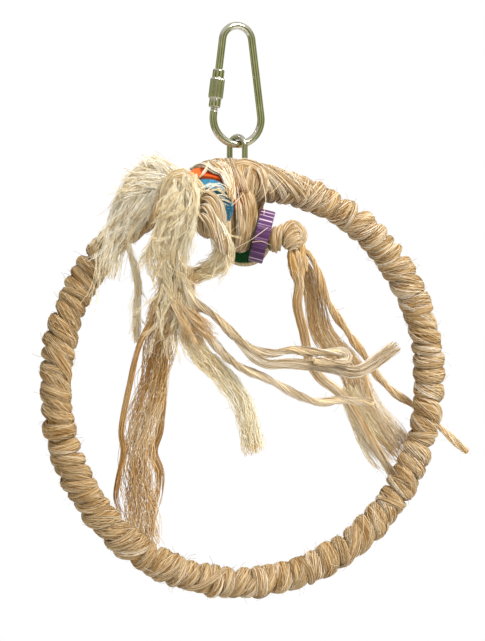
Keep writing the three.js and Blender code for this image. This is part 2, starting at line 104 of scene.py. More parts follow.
NODE_FAMILIES = ("ShaderNode", "GeometryNode", "FunctionNode", "")
# Numbers of a mix node's colour sockets
MIX_FIRST = 6
MIX_SECOND = 7
MIXED = 2


def fill(tree, node, inputs):
    """Sets or links a node's inputs, by name or number; a node given for one stands for its first output."""
    for key, value in inputs.items():
        if isinstance(value, bpy.types.Node):
            value = value.outputs[0]
        if isinstance(value, bpy.types.NodeSocket):
            tree.links.new(value, node.inputs[key])
        else:
            node.inputs[key].default_value = value


def add(tree, kind, *inputs, **named):
    """Adds a node, its kind given without the family's name.

    Values fill its inputs in order, or a dict does by number. A name with a capital is an input's, with a low
    line for each space; a name without one is a setting's.
    """
    families = [family for family in NODE_FAMILIES if hasattr(bpy.types, family + kind)]
    node = tree.nodes.new(families[0] + kind)
    for name, value in named.items():
        if name.islower():
            setattr(node, name, value)
    for number, value in enumerate(inputs):
        fill(tree, node, value if isinstance(value, dict) else {number: value})
    fill(tree, node, {name.replace("_", " "): value for name, value in named.items() if not name.islower()})
    return node


def linear(colour):
    """An sRGB hex colour as linear RGBA."""
    parts = [int(colour[i : i + 2], 16) / 255 for i in (1, 3, 5)]
    return [c / 12.92 if c <= 0.04045 else ((c + 0.055) / 1.055) ** 2.4 for c in parts] + [1.0]


def fill_ramp(node, stops):
    """Sets a colour ramp's stops, given as (place, hex colour)."""
    elements = node.color_ramp.elements
    while len(elements) < len(stops):
        elements.new(0.5)
    for element, (place, colour) in zip(elements, stops):
        element.position = place
        element.color = linear(colour)
    return node


def new_material(name):
    material = bpy.data.materials.new(name)
    material.use_nodes = True
    tree = material.node_tree
    return material, tree, tree.nodes["Principled BSDF"]


# Sisal and wood bend light alike
PLANT_IOR = 1.5


# Sisal fibre: combed leaf fibre, a waxy satin thread. Each has its own shade, so a bundle reads as streaks.
def sisal_fibre(name, stops, roughness=0.5, gloss=0.15):
    material, tree, surface = new_material(name)
    shade = add(tree, "Attribute", attribute_name="shade").outputs["Fac"]
    colour = fill_ramp(add(tree, "ValToRGB", Fac=shade), stops)
    finish = {"Roughness": roughness, "IOR": PLANT_IOR, "Specular IOR Level": gloss}
    fill(tree, surface, {"Base Color": colour, **finish})
    return material


# Packed sisal: the fibres under the loose ones, matt and streaked along the strand at fibre width.
FIBRE_WIDTH = 0.45 * MM
STREAK_LENGTH = 14 * MM
STRAND_RADIUS = 3 * MM


def sisal_body(name, stops):
    material, tree, surface = new_material(name)
    section = add(tree, "Attribute", attribute_name="section").outputs["Vector"]
    along = add(tree, "Attribute", attribute_name="along").outputs["Fac"]
    fibres = STRAND_RADIUS / FIBRE_WIDTH
    across = add(tree, "VectorMath", section, Scale=fibres, operation="SCALE")
    run = add(tree, "Math", along, 1 / STREAK_LENGTH, operation="MULTIPLY")
    lift = add(tree, "CombineXYZ", Z=run)
    place = add(tree, "VectorMath", across, lift)
    streak = add(tree, "TexNoise", Vector=place, Scale=1.0, Detail=3.0)
    colour = fill_ramp(add(tree, "ValToRGB", Fac=streak), stops)
    bump = add(tree, "Bump", Height=streak, Strength=0.6, Distance=0.3 * MM)
    finish = {"Roughness": 0.65, "IOR": PLANT_IOR, "Specular IOR Level": 0.15}
    fill(tree, surface, {"Base Color": colour, "Normal": bump, **finish})
    return material


RING_SHADES = [(0.0, "#634320"), (0.25, "#A07F4F"), (0.6, "#CDB58E"), (1.0, "#F7EEDD")]
PALE_SHADES = [(0.0, "#BA965E"), (0.22, "#E8D2A4"), (0.5, "#F9EFD4"), (1.0, "#FFFEF8")]
GOLD_SHADES = [(0.0, "#A4753A"), (0.3, "#CDA266"), (0.65, "#E5C694"), (1.0, "#FAEDD2")]
STRAW_SHADES = [(0.0, "#B68C50"), (0.22, "#E5C992"), (0.5, "#F9EAC4"), (1.0, "#FFFCEC")]
ring_fibre = sisal_fibre("sisal fibre", RING_SHADES, roughness=0.36, gloss=0.36)
straw_fibre = sisal_fibre("straw-coloured sisal fibre", STRAW_SHADES)
pale_fibre = sisal_fibre("combed pale sisal fibre", PALE_SHADES)
gold_fibre = sisal_fibre("golden sisal fibre", GOLD_SHADES)
# Ring and golden bodies are darker than their fibres: painted shade in creases and gaps between turns
BODY_SHADES = [(0.3, "#563714"), (0.45, "#876438"), (0.56, "#AF9266"), (0.7, "#CDB68F")]
PALE_BODY_SHADES = [(0.25, "#B09468"), (0.5, "#DCC498"), (0.75, "#F0E0BC")]
GOLD_BODY_SHADES = [(0.25, "#7C5628"), (0.5, "#AC8448"), (0.75, "#CCA66C")]
ring_body_painted_shade = sisal_body("packed sisal", BODY_SHADES)
pale_body = sisal_body("packed pale sisal", PALE_BODY_SHADES)
gold_body_painted_shade = sisal_body("packed golden sisal", GOLD_BODY_SHADES)


# Bright nickel over steel: a warm grey mirror with faint cloudy tarnish and fine handling marks.
CLOUD_SIZE = 5 * MM
MARK_SIZE = 0.5 * MM


def plated_metal(name, stops, roughness):
    material, tree, surface = new_material(name)
    place = add(tree, "TexCoord").outputs["Object"]
    cloud = add(tree, "TexNoise", Vector=place, Scale=1 / CLOUD_SIZE, Detail=3.0)
    colour = fill_ramp(add(tree, "ValToRGB", Fac=cloud), stops)
    marks = add(tree, "TexNoise", Vector=place, Scale=1 / MARK_SIZE, Detail=2.0)
    spread = {"From Min": 0.3, "From Max": 0.7, "To Min": roughness * 0.8, "To Max": roughness * 1.3}
    polish = add(tree, "MapRange", Value=cloud, **spread)
    bump = add(tree, "Bump", Height=marks, Strength=0.08, Distance=0.1 * MM)
    fill(tree, surface, {"Base Color": colour, "Roughness": polish, "Normal": bump, "Metallic": 1.0})
    return material


nickel = plated_metal("bright nickel plating", [(0.3, "#BDBAAA"), (0.7, "#D2CFC2")], roughness=0.13)
wire_steel = plated_metal("drawn steel wire", [(0.3, "#B0ADA0"), (0.7, "#C8C5BA")], roughness=0.16)


# Dyed wood: side grain takes the dye in streaks along the slice's axis, end grain soaks it evenly.
GRAIN_WIDTH = 0.9 * MM
GRAIN_LENGTH = 40 * MM
PORE_WIDTH = 0.35 * MM


def dyed_wood(name, stops, natural=None):
    """A slice's finish. With natural, the rim is bare wood of that colour and only the faces are dyed."""
    material, tree, surface = new_material(name)
    local = add(tree, "Attribute", attribute_name="local").outputs["Vector"]
    stretch = (1 / GRAIN_WIDTH, 1 / GRAIN_WIDTH, 1 / GRAIN_LENGTH)
    place = add(tree, "VectorMath", local, stretch, operation="MULTIPLY")
    grain = add(tree, "TexNoise", Vector=place, Scale=1.0, Detail=2.0)
    colour = fill_ramp(add(tree, "ValToRGB", Fac=grain), stops)
    if natural:
        rim = add(tree, "Attribute", attribute_name="rim").outputs["Fac"]
        bare = fill_ramp(add(tree, "ValToRGB", Fac=grain), natural)
        shares = {"Factor": rim, MIX_FIRST: colour, MIX_SECOND: bare}
        colour = add(tree, "Mix", shares, data_type="RGBA").outputs[MIXED]
    pores = add(tree, "TexNoise", Vector=local, Scale=1 / PORE_WIDTH, Detail=2.0)
    relief = add(tree, "Math", grain, pores)
    bump = add(tree, "Bump", Height=relief, Strength=0.35, Distance=0.15 * MM)
    finish = {"Roughness": 0.6, "IOR": PLANT_IOR, "Specular IOR Level": 0.25}
    fill(tree, surface, {"Base Color": colour, "Normal": bump, **finish})
    return material


orange_wood = dyed_wood("orange-dyed wood", [(0.3, "#E2541A"), (0.5, "#FA6420"), (0.72, "#FF7A33")])
blue_wood = dyed_wood("blue-dyed wood", [(0.36, "#245F79"), (0.58, "#337A97"), (0.7, "#7AA6B6")])
purple_wood = dyed_wood(
    "purple-dyed wood", [(0.4, "#45234C"), (0.52, "#59325D"), (0.6, "#80637F"), (0.68, "#CFBBCE")]
)
green_wood = dyed_wood(
    "green-dyed wood",
    [(0.35, "#0A3A1A"), (0.65, "#12602C")],
    natural=[(0.35, "#8B7550"), (0.65, "#B9A27A")],
)


# Routes: even runs of points along smooth curves, with the directions across them

CURVE_STEPS = 24
FEWEST_POINTS = 3


def lengths_along(points):
    return np.concatenate([[0], np.cumsum(np.linalg.norm(np.diff(points, axis=0), axis=1))])


def smooth_run(points, spacing):
    """Even points along the smooth curve through given points, in the same unit."""
    guides = [np.array(point, float) for point in points]
    guides = [2 * guides[0] - guides[1], *guides, 2 * guides[-1] - guides[-2]]
    fine = []
    for a, b, c, d in zip(guides, guides[1:], guides[2:], guides[3:]):
        for t in np.linspace(0, 1, CURVE_STEPS, endpoint=False):
            bend = (c - a) * t + (2 * a - 5 * b + 4 * c - d) * t**2 + (3 * b - a - 3 * c + d) * t**3
            fine.append(b + bend / 2)
    fine = np.array([*fine, guides[-2]])
    reach = lengths_along(fine)
    even = np.linspace(0, reach[-1], max(FEWEST_POINTS, round(reach[-1] / spacing) + 1))
    return np.stack([np.interp(even, reach, fine[:, axis]) for axis in range(3)], axis=1)


def unit(vectors):
    return vectors / np.linalg.norm(vectors, axis=-1, keepdims=True)


def facing_frame(points, facing):
    """Directions across a run: wide, and thick towards the given facing at every point."""
    travel = unit(np.gradient(points, axis=0))
    facing = np.broadcast_to(facing, points.shape)
    thick = unit(facing - np.sum(facing * travel, axis=1, keepdims=True) * travel)
    return np.cross(thick, travel), thick


def carried_frame(points, first):
    """Directions across a run that turn no more than the run itself does."""
    travel = unit(np.gradient(points, axis=0))
    thick = [unit(np.array(first, float) - np.dot(first, travel[0]) * travel[0])]
    for ahead in travel[1:]:
        thick.append(unit(thick[-1] - np.dot(thick[-1], ahead) * ahead))
    thick = np.array(thick)
    return np.cross(thick, travel), thick


# Pieces grown by trees of nodes

SOCKET_KINDS = {int: "NodeSocketInt", float: "NodeSocketFloat", bpy.types.Material: "NodeSocketMaterial"}


def new_tree(name, defaults):
    """A tree with one named input for each default, and that tree's inputs."""
    tree = bpy.data.node_groups.new(name, "GeometryNodeTree")
    tree.interface.new_socket("Geometry", in_out="INPUT", socket_type="NodeSocketGeometry")
    tree.interface.new_socket("Geometry", in_out="OUTPUT", socket_type="NodeSocketGeometry")
    for socket, value in defaults.items():
        tree.interface.new_socket(socket, in_out="INPUT", socket_type=SOCKET_KINDS[type(value)])
    return tree, add(tree, "NodeGroupInput").outputs


def new_piece(name, mesh):
    piece = bpy.data.objects.new(name, mesh)
    bpy.context.scene.collection.objects.link(piece)
    return piece


def grow(name, seedbed, tree, settings):
    """The plain mesh that a tree grows on a seedbed object, which is used up."""
    modifier = seedbed.modifiers.new(tree.name, "NODES")
    modifier.node_group = tree
    for socket in tree.interface.items_tree:
        if socket.in_out == "INPUT" and socket.name in settings:
            modifier[socket.identifier] = settings[socket.name]
    depsgraph = bpy.context.evaluated_depsgraph_get()
    grown = seedbed.evaluated_get(depsgraph)
    mesh = bpy.data.meshes.new_from_object(grown, preserve_all_data_layers=True, depsgraph=depsgraph)
    mesh.name = name
    bpy.data.objects.remove(seedbed)
    return new_piece(name, mesh)


def set_attributes(mesh, attributes):
    """Writes point attributes: a row of three numbers is a vector, one number is a value."""
    for name, values in attributes.items():
        kind, field = ("FLOAT_VECTOR", "vector") if values.ndim == 2 else ("FLOAT", "value")
        layer = mesh.attributes.new(name, kind, "POINT")
        layer.data.foreach_set(field, values.astype(np.float32).ravel())


def settle(piece, node, body="ring"):
    """A piece that moves with a body and takes a node's place."""
    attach(piece, body)
    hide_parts(node)


# Sisal strand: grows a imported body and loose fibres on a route

STRAND_DEFAULTS = {
    "Fibres": 40,
    "Fibre Radius": 0.2 * MM,
    "Twist": 0.0,
    "Plies": 1,
    "Ply Spread": 0.0,
    "Innermost": 0.0,
    "Wander": 0.3,
    "Wander Length": 15 * MM,
    "Fray": 0.02,
    "Body": 0.0,
    "Lumps": 0.15,
    "Paleness": 0.0,
    "Paling": 0.0,
    "Seed": 1,
    "Fibre Finish": ring_fibre,
    "Body Finish": ring_body_painted_shade,
}
ROUTE_ATTRIBUTES = {
    "wide": "FLOAT_VECTOR",
    "thick": "FLOAT_VECTOR",
    "centre": "FLOAT_VECTOR",
    "along": "FLOAT",
    "lock": "FLOAT",
}
# Every lock and fibre reads a lane of the noise of its own, so no two run alike
LOCK_STRIDE = 1000.0
FIBRE_LANE = 3.7
PATCH_LANE = 5.3
# How long a stretch of a strand is darker or paler than the rest, and by how much
PATCH_LENGTH = 30 * MM
PATCH_CONTRAST = 0.16
# How far a fibre's shade follows its drift, how close the body's lumps lie, and the sides of fibre and body
DRIFT_SHARE = 0.35
LUMP_SCALE = 1.6
FIBRE_SIDES = 3
BODY_SIDES = 12


def spread_across(tree, stored, place):
    """A place in a strand's section as an offset along its wide and thick directions."""
    part = add(tree, "SeparateXYZ", place).outputs
    sideways = add(tree, "VectorMath", stored["wide"], Scale=part[0], operation="SCALE")
    upwards = add(tree, "VectorMath", stored["thick"], Scale=part[1], operation="SCALE")
    return add(tree, "VectorMath", sideways, upwards)


def fibre_place(tree, given, number, chance, turned):
    """A fibre's place in the section: a spin and a reach, about the middle of its ply."""
    spin = add(tree, "Math", chance[0], FULL_TURN, turned, operation="MULTIPLY_ADD")
    reach = add(tree, "Math", chance[1], operation="SQRT")
    reach = add(tree, "MapRange", Value=reach, To_Min=given["Innermost"], To_Max=1.0)
    ply_share = add(tree, "Math", 1.0, given["Ply Spread"], operation="SUBTRACT")
    reach = add(tree, "Math", reach, ply_share, operation="MULTIPLY")
    place = add(tree, "VectorRotate", Vector=(1, 0, 0), Angle=spin, rotation_type="Z_AXIS")
    place = add(tree, "VectorMath", place, Scale=reach, operation="SCALE")
    ply = add(tree, "Math", number, given["Plies"], operation="MODULO")
    ply = add(tree, "Math", ply, given["Plies"], operation="DIVIDE")
    ply = add(tree, "Math", ply, FULL_TURN, turned, operation="MULTIPLY_ADD")
    middle = add(tree, "VectorRotate", Vector=(1, 0, 0), Angle=ply, rotation_type="Z_AXIS")
    middle = add(tree, "VectorMath", middle, Scale=given["Ply Spread"], operation="SCALE")
    return add(tree, "VectorMath", place, middle)


def fibre_shade(tree, given, stored, own, drift):
    """A fibre's shade: its own with some of its drift, then the patch it lies in, then the strand's."""
    tone = add(tree, "Mix", Factor=DRIFT_SHARE, A=own, B=drift)
    patch = add(tree, "Math", stored["along"], 1 / PATCH_LENGTH, operation="MULTIPLY")
    patch_lane = add(tree, "Math", stored["lock"], PATCH_LANE, given["Seed"], operation="MULTIPLY_ADD")
    patch = add(tree, "CombineXYZ", patch, patch_lane)
    patch = add(tree, "TexNoise", Vector=patch, Scale=1.0, Detail=1.0)
    contrast = {"From Min": 0.3, "From Max": 0.7, "To Min": -PATCH_CONTRAST, "To Max": PATCH_CONTRAST}
    patch = add(tree, "MapRange", Value=patch, **contrast)
    tone = add(tree, "Math", tone, patch)
    tone = add(tree, "Math", tone, given["Paleness"])
    return add(tree, "Math", stored["along"], given["Paling"], tone, operation="MULTIPLY_ADD")


def loose_fibres(tree, given, route, stored, turned, step):
    """Fibres that each keep a place of their own in the strand or one of its plies, and wander about it."""
    copies = add(tree, "DuplicateElements", route, Amount=given["Fibres"], domain="SPLINE").outputs
    index = copies["Duplicate Index"]
    number = add(tree, "Math", stored["lock"], LOCK_STRIDE, index, operation="MULTIPLY_ADD")
    draw = {"ID": number, "Seed": given["Seed"], "data_type": "FLOAT_VECTOR"}
    chance = add(tree, "RandomValue", (0, 0, 0), (1, 1, 1), **draw)
    chance = add(tree, "SeparateXYZ", chance).outputs

    # Its place, and its drift about it along the strand
    lane = add(tree, "Math", number, FIBRE_LANE, given["Seed"], operation="MULTIPLY_ADD")
    walk = add(tree, "CombineXYZ", step, lane)
    drift = add(tree, "TexNoise", Vector=walk, Scale=1.0, Detail=1.0).outputs
    sway = add(tree, "VectorMath", drift["Color"], (0.5, 0.5, 0.5), operation="SUBTRACT")
    sway = add(tree, "VectorMath", sway, Scale=given["Wander"], operation="SCALE")
    place = add(tree, "VectorMath", fibre_place(tree, given, number, chance, turned), sway)
    offset = spread_across(tree, stored, place)
    fibres = add(tree, "SetPosition", Geometry=copies[0], Offset=offset)
    tone = fibre_shade(tree, given, stored, own=chance[2], drift=drift[0])
    shade = {"Name": "shade", "Value": tone, "data_type": "FLOAT", "domain": "POINT"}
    fibres = add(tree, "StoreNamedAttribute", fibres, **shade)

    # Some fibres end early where the strand frays
    lost = add(tree, "Math", chance[2], given["Fray"], operation="MULTIPLY")
    end = add(tree, "Math", 1.0, lost, operation="SUBTRACT")
    fibres = add(tree, "TrimCurve", fibres, End=end, mode="FACTOR")
    thread = add(tree, "CurvePrimitiveCircle", Resolution=FIBRE_SIDES, Radius=given["Fibre Radius"])
    fibres = add(tree, "CurveToMesh", Curve=fibres, Profile_Curve=thread, Fill_Caps=True)
    return add(tree, "SetMaterial", fibres, Material=given["Fibre Finish"])


def packed_body(tree, given, route, stored, turned, step):
    """A lumpy oval that fills the strand under its loose fibres, where the strand has a body."""
    oval = add(tree, "CurvePrimitiveCircle", Resolution=BODY_SIDES, Radius=1.0)
    place = {"Value": add(tree, "InputPosition"), "data_type": "FLOAT_VECTOR", "domain": "POINT"}
    oval = add(tree, "StoreNamedAttribute", oval, Name="section", **place)
    body = add(tree, "CurveToMesh", Curve=route, Profile_Curve=oval, Fill_Caps=True)
    section = add(tree, "InputNamedAttribute", Name="section", data_type="FLOAT_VECTOR")
    rolled = add(tree, "VectorRotate", Vector=section, Angle=turned, rotation_type="Z_AXIS")
    lift = add(tree, "CombineXYZ", Z=step)
    lump = add(tree, "VectorMath", rolled, lift)
    lump = add(tree, "TexNoise", Vector=lump, Scale=LUMP_SCALE, Detail=1.0)
    swell = {"From Min": 0.25, "From Max": 0.75, "To Min": 0.0, "To Max": given["Lumps"]}
    swell = add(tree, "MapRange", Value=lump, **swell)
    size = add(tree, "Math", given["Body"], swell)
    edge = add(tree, "VectorMath", section, Scale=size, operation="SCALE")
    offset = spread_across(tree, stored, edge)
    wall = add(tree, "VectorMath", stored["centre"], offset)
    body = add(tree, "SetPosition", Geometry=body, Position=wall)
    body = add(tree, "SetMaterial", body, Material=given["Body Finish"])
    has_body = add(tree, "Compare", given["Body"], 0.0, operation="GREATER_THAN")
    return add(tree, "Switch", Switch=has_body, **{"True": body}, input_type="GEOMETRY")


def strand_tree():
    tree, given = new_tree("Sisal strand", STRAND_DEFAULTS)
    route = add(tree, "MeshToCurve", Mesh=given["Geometry"])
    stored = {}
    for name, kind in ROUTE_ATTRIBUTES.items():
        stored[name] = add(tree, "InputNamedAttribute", Name=name, data_type=kind)
    turned = add(tree, "Math", stored["along"], given["Twist"], operation="MULTIPLY")
    turned = add(tree, "Math", turned, FULL_TURN, operation="MULTIPLY")
    step = add(tree, "Math", stored["along"], given["Wander Length"], operation="DIVIDE")
    whole = add(tree, "JoinGeometry")
    for part in (loose_fibres, packed_body):
        fill(tree, whole, {0: part(tree, given, route, stored, turned, step)})
    whole = add(tree, "SetShadeSmooth", whole)
    whole = add(tree, "RealizeInstances", whole)
    add(tree, "NodeGroupOutput", whole)
    return tree


SISAL_STRAND = strand_tree()
# Where a strand runs out it thins over this length, to this share of its size
TAPER_LENGTH = 5.0
THIN_END = 0.12
# How far along the noise each next strand of a piece starts
NEXT_STRAND = 37.0


def run_of(points, across, half_width, half_thick, start=0.0):
    """One run for a strand: points in millimetres, directions across, half sizes and length already gone."""
    wide, thick = across
    half_width = np.broadcast_to(half_width, len(points))[:, None]
    half_thick = np.broadcast_to(half_thick, len(points))[:, None]
    return points, wide * half_width, thick * half_thick, start + lengths_along(points)


def flat_run(guide, spacing, half_width, half_thick):
    """A run through given points, counted from the hoop's seat, with its flat side to the eye."""
    points = smooth_run(guide, spacing) + SEAT
    return run_of(points, facing_frame(points, FACING), half_width, half_thick)


def tapered(points, half_size):
    """Half sizes that run out to a thin end over the first and last length of a run."""
    reach = lengths_along(points)
    ends = np.minimum(reach, reach[-1] - reach) / TAPER_LENGTH
    return half_size * np.interp(ends, [0, 1], [THIN_END, 1])


def strand(name, runs, **settings):
    """Sisal strands grown on runs, as one piece."""
    edges, first = [], 0
    for points, *_ in runs:
        edges += [(first + i, first + i + 1) for i in range(len(points) - 1)]
        first += len(points)
    centre, wide, thick, along = (np.concatenate(parts) * MM for parts in zip(*runs))
    lock = np.concatenate([np.full(len(points), float(number)) for number, (points, *_) in enumerate(runs)])
    mesh = bpy.data.meshes.new(name + "_route")
    mesh.from_pydata(centre.tolist(), edges, [])
    set_attributes(mesh, {"wide": wide, "thick": thick, "centre": centre, "along": along, "lock": lock})
    return grow(name, new_piece(name + "_route", mesh), SISAL_STRAND, {**STRAND_DEFAULTS, **settings})


# Stray fibres: short bent hairs that stand off a surface

STRAY_DEFAULTS = {
    "Per Area": 4000.0,
    "Length": 7 * MM,
    "Hair Radius": 0.075 * MM,
    "Lift": 0.85,
    "Seed": 1,
    "Finish": ring_fibre,
}
HAIR_POINTS = 5
HAIR_BEND = 0.55
SHORTEST_HAIR = 0.35


def stray_tree():
    tree, given = new_tree("Stray fibres", STRAY_DEFAULTS)
    sowing = {"Density": given["Per Area"], "Seed": given["Seed"]}
    spots = add(tree, "DistributePointsOnFaces", given["Geometry"], **sowing).outputs
    line = add(tree, "CurvePrimitiveLine", End=(0, 0, 1))
    line = add(tree, "ResampleCurve", Curve=line, Count=HAIR_POINTS)
    run = add(tree, "SplineParameter")
    arch = add(tree, "Math", run, 2.0, operation="POWER")
    bend = add(tree, "CombineXYZ", arch)
    bend = add(tree, "VectorMath", bend, Scale=HAIR_BEND, operation="SCALE")
    line = add(tree, "SetPosition", Geometry=line, Offset=bend)
    share = add(tree, "Math", given["Hair Radius"], given["Length"], operation="DIVIDE")
    thread = add(tree, "CurvePrimitiveCircle", Resolution=FIBRE_SIDES, Radius=share)
    hair = add(tree, "CurveToMesh", Curve=line, Profile_Curve=thread, Fill_Caps=True)
    draw = {"Seed": given["Seed"], "data_type": "FLOAT_VECTOR"}
    chance = add(tree, "RandomValue", (0, 0, 0), (1, 1, 1), **draw)
    chance = add(tree, "SeparateXYZ", chance).outputs
    spin = add(tree, "Math", chance[0], FULL_TURN, operation="MULTIPLY")
    lean = add(tree, "MapRange", Value=chance[1], To_Min=math.pi / 2, To_Max=given["Lift"])
    turn = add(tree, "CombineXYZ", Y=lean, Z=spin)
    turn = add(tree, "EulerToRotation", turn)
    turn = add(tree, "RotateRotation", spots["Rotation"], turn, rotation_space="LOCAL")
    size = add(tree, "MapRange", Value=chance[2], To_Min=SHORTEST_HAIR, To_Max=1.0)
    size = add(tree, "Math", size, given["Length"], operation="MULTIPLY")
    hairs = add(tree, "InstanceOnPoints", spots["Points"], Instance=hair, Rotation=turn, Scale=size)
    shade = {"Name": "shade", "Value": chance[0], "data_type": "FLOAT", "domain": "INSTANCE"}
    hairs = add(tree, "StoreNamedAttribute", hairs, **shade)
    hairs = add(tree, "RealizeInstances", hairs)
    hairs = add(tree, "SetShadeSmooth", hairs)
    hairs = add(tree, "SetMaterial", hairs, Material=given["Finish"])
    add(tree, "NodeGroupOutput", hairs)
    return tree


STRAY_FIBRES = stray_tree()


def strays(name, piece, **settings):
    """Stray fibres over a piece, its faces being the seedbed."""
    seedbed = new_piece(name + "_seedbed", piece.data.copy())
    return grow(name, seedbed, STRAY_FIBRES, {**STRAY_DEFAULTS, **settings})


# Tails: cords frayed from the rope's two ends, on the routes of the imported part, counted from the hoop's seat

TAIL_SPACING = 2.3
STRAND_SPACING = 1.6
# Past its end a cord's fibres part over a length that grows with its width
RAGGED_START = 1.5
RAGGED_SHARE = 0.4
RAGGED_STEPS = 5
RAGGED_FRAY = 1.2
# At its root a cord is gathered to a share of its size
GATHER_LENGTH = 12.0
GATHERED = 0.45
LEFT_BUNDLE = [
    (-31, -35.9, -13.2), (-35, -36.3, -5.5), (-40, -35.2, -0.5), (-44, -33.5, -4.5),
    (-44.5, -32, -15.5), (-43, -30, -29), (-41.5, -26, -42.5), (-41, -22, -54.5),
]
LEFT_TUFT = [
    (-38.5, -29.4, -6), (-42, -28.4, 0.5), (-48, -21.5, 4.5), (-55, -14.5, -0.5),
    (-60.5, -12.5, -11.5), (-64.5, -12, -28), (-67.3, -12, -40),
]
LEFT_WISP = [
    (-58.5, -16, -33.5), (-55.5, -16, -44), (-54.5, -15.5, -52.5), (-55, -14.5, -61), (-54.5, -13, -73),
]
LEFT_CURL = [
    (-31.8, -41.5, -13.6), (-29.3, -45, -17.2), (-24.5, -45, -25.5), (-20.3, -39.5, -33.8),
    (-23, -35, -40.5), (-30.3, -31.5, -43.9),
]
LEFT_DARK_TAIL = [
    (-42, -21, -55.5), (-44.5, -16, -75), (-46.5, -7, -99.5), (-48.5, 2, -118),
    (-48, 8, -136.5), (-45, 12.5, -152.5), (-42.5, 13.5, -168),
]
LEFT_PALE_TAIL = [
    (-39.5, -27.5, -53), (-36, -26, -64), (-32, -24, -73), (-26, -22.5, -82),
    (-14.5, -21, -92), (-5, -21, -105), (0, -20, -123.5),
]
LEFT_UPPER_YARN = [
    (-39, -31, -46), (-33, -32, -56), (-22, -31, -63.5), (-12.5, -31, -72.5), (-2.5, -31, -79),
    (7, -31, -80.5), (15, -31, -79), (23.5, -31, -80), (33, -31, -80.5), (40.5, -31, -80),
]
LEFT_RIBBON = [
    (4, -31, -85.6), (12.5, -31, -85.5), (20.5, -31, -85.8), (35.5, -30, -87.5),
    (49, -29, -90), (59, -28, -86), (69, -27, -79.5),
]
LEFT_LOWER_YARN = [
    (-33.9, -24, -50), (-29.8, -24.5, -63), (-24.5, -25, -71.5), (-17.5, -26, -79.5), (-9, -27, -86.5),
    (2, -28, -91.5), (13, -28, -97), (21.5, -28, -101), (31, -27, -104), (43, -26, -103.5), (57, -25, -105),
]
RIGHT_INNER_TAIL = [
    (20.2, -20, -38.6), (24.5, -18.5, -47.5), (24.5, -16, -58.5), (29, -14, -72), (33, -12, -86),
    (40, -9, -94), (49.5, -6, -100), (58.5, -2, -108), (74, 6, -127), (86, 11, -142.5),
]
RIGHT_BROAD_TAIL = [
    (25.9, -16.3, -37), (34, -11.5, -51.5), (39, -8, -68), (46.5, -5, -78),
    (58.5, 0, -88), (65.5, 4, -99.5), (73, 8.5, -111.5), (90.5, 13, -129.5),
]
RIGHT_YARN = [
    (29.2, -20.6, -34.8), (34, -19.5, -43), (38.5, -17, -53.5), (46, -13, -63.5), (57, -7, -75),
    (66.5, -2, -84), (75, 3, -93.5), (86.5, 8, -102.5), (99, 11, -109.5), (114.5, 11.5, -121.5),
    (126.5, 11.5, -131.5),
]
YARN_FOLD = [(43.5, -32, -81.6), (42.5, -33.5, -84.4), (36, -34, -85.2), (29, -34, -84.6)]
RIBBON_LEAD = (-4, -31, -82)
# Each tail's root inside the knot or bundle it leaves, its width there and at its end, and its thickness
TAILS = {
    "left_bundle": ((-29.5, -35.8, -18), 10, 11.5, 6.5),
    "left_tuft": ((-35, -32, -10), 9, 12, 4),
    "left_wisp": ((-60.5, -14, -26), 3.4, 3.6, 3),
    "left_curl": ((-32, -39, -13), 5, 7.5, 4),
    "left_dark_tail": ((-42, -24, -46), 12, 17, 4),
    "left_pale_tail": ((-41.5, -28, -44), 10, 10, 3),
    "left_upper_yarn": ((-41, -30, -38), 4.6, 4.6, 4),
    "left_ribbon": ((-12, -30.5, -74.5), 4, 7, 2.5),
    "left_lower_yarn": ((-38, -26.5, -42), 4.6, 4.6, 4),
    "right_inner_tail": ((22, -18, -31), 4.5, 4.5, 4),
    "right_broad_tail": ((23.5, -17.5, -31), 8, 17, 4),
    "right_yarn": ((25, -18.5, -31), 4.2, 4.2, 3.8),
}

PALE = {"Fibre Finish": pale_fibre, "Body Finish": pale_body}
STRAW = {"Fibre Finish": straw_fibre, "Body Finish": pale_body}
GOLD = {"Fibre Finish": gold_fibre, "Body Finish": gold_body_painted_shade}
COMBED = {"Fibre Radius": 0.13 * MM, "Wander": 0.7, "Wander Length": 22 * MM, "Twist": 3.0}
COMBED_PALE = {**COMBED, **PALE}
COMBED_STRAW = {**COMBED, **STRAW}
COMBED_GOLD = {**COMBED, **GOLD}
INNER_BODY = 0.4
YARN = {
    "Fibres": 90,
    "Fibre Radius": 0.12 * MM,
    "Twist": 24.0,
    "Plies": 2,
    "Ply Spread": 0.32,
    "Innermost": 0.2,
    "Wander": 0.6,
    "Wander Length": 11 * MM,
    "Body": 0.5,
    "Body Finish": pale_body,
}


def tail(node, route, slot, with_pieces=(), **settings):
    """A frayed tail on its route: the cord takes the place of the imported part's solid.

    Its fibres part beyond the cord's own end, so the end is ragged and the cord keeps its length.
    """
    root, width, end_width, thick = TAILS[node]
    path = smooth_run([root, *route], TAIL_SPACING) + SEAT
    widest = max(width, end_width)
    ragged = RAGGED_START + RAGGED_SHARE * widest
    onward = unit(path[-1] - path[-3])
    beyond = np.linspace(0, ragged, RAGGED_STEPS + 1)[1:]
    points = np.concatenate([path, path[-1] + np.outer(beyond, onward)])
    reach = lengths_along(points)
    gathered = np.interp(reach, [0, GATHER_LENGTH], [GATHERED, 1])
    half_width = gathered * np.interp(reach, [0, reach[-1]], [width / 2, end_width / 2])
    settings["Fray"] = RAGGED_FRAY * ragged / reach[-1]
    run = run_of(points, facing_frame(points, FACING), half_width, gathered * thick / 2)
    piece = strand(node + "_fibre", [run], **settings)
    settle(piece, node)
    finish = settings.get("Fibre Finish", ring_fibre)
    loose = strays(node + "_strays", piece, Seed=settings["Seed"], Finish=finish)
    with_pieces = [*with_pieces, loose]
    for part in with_pieces:
        settle(part, node)


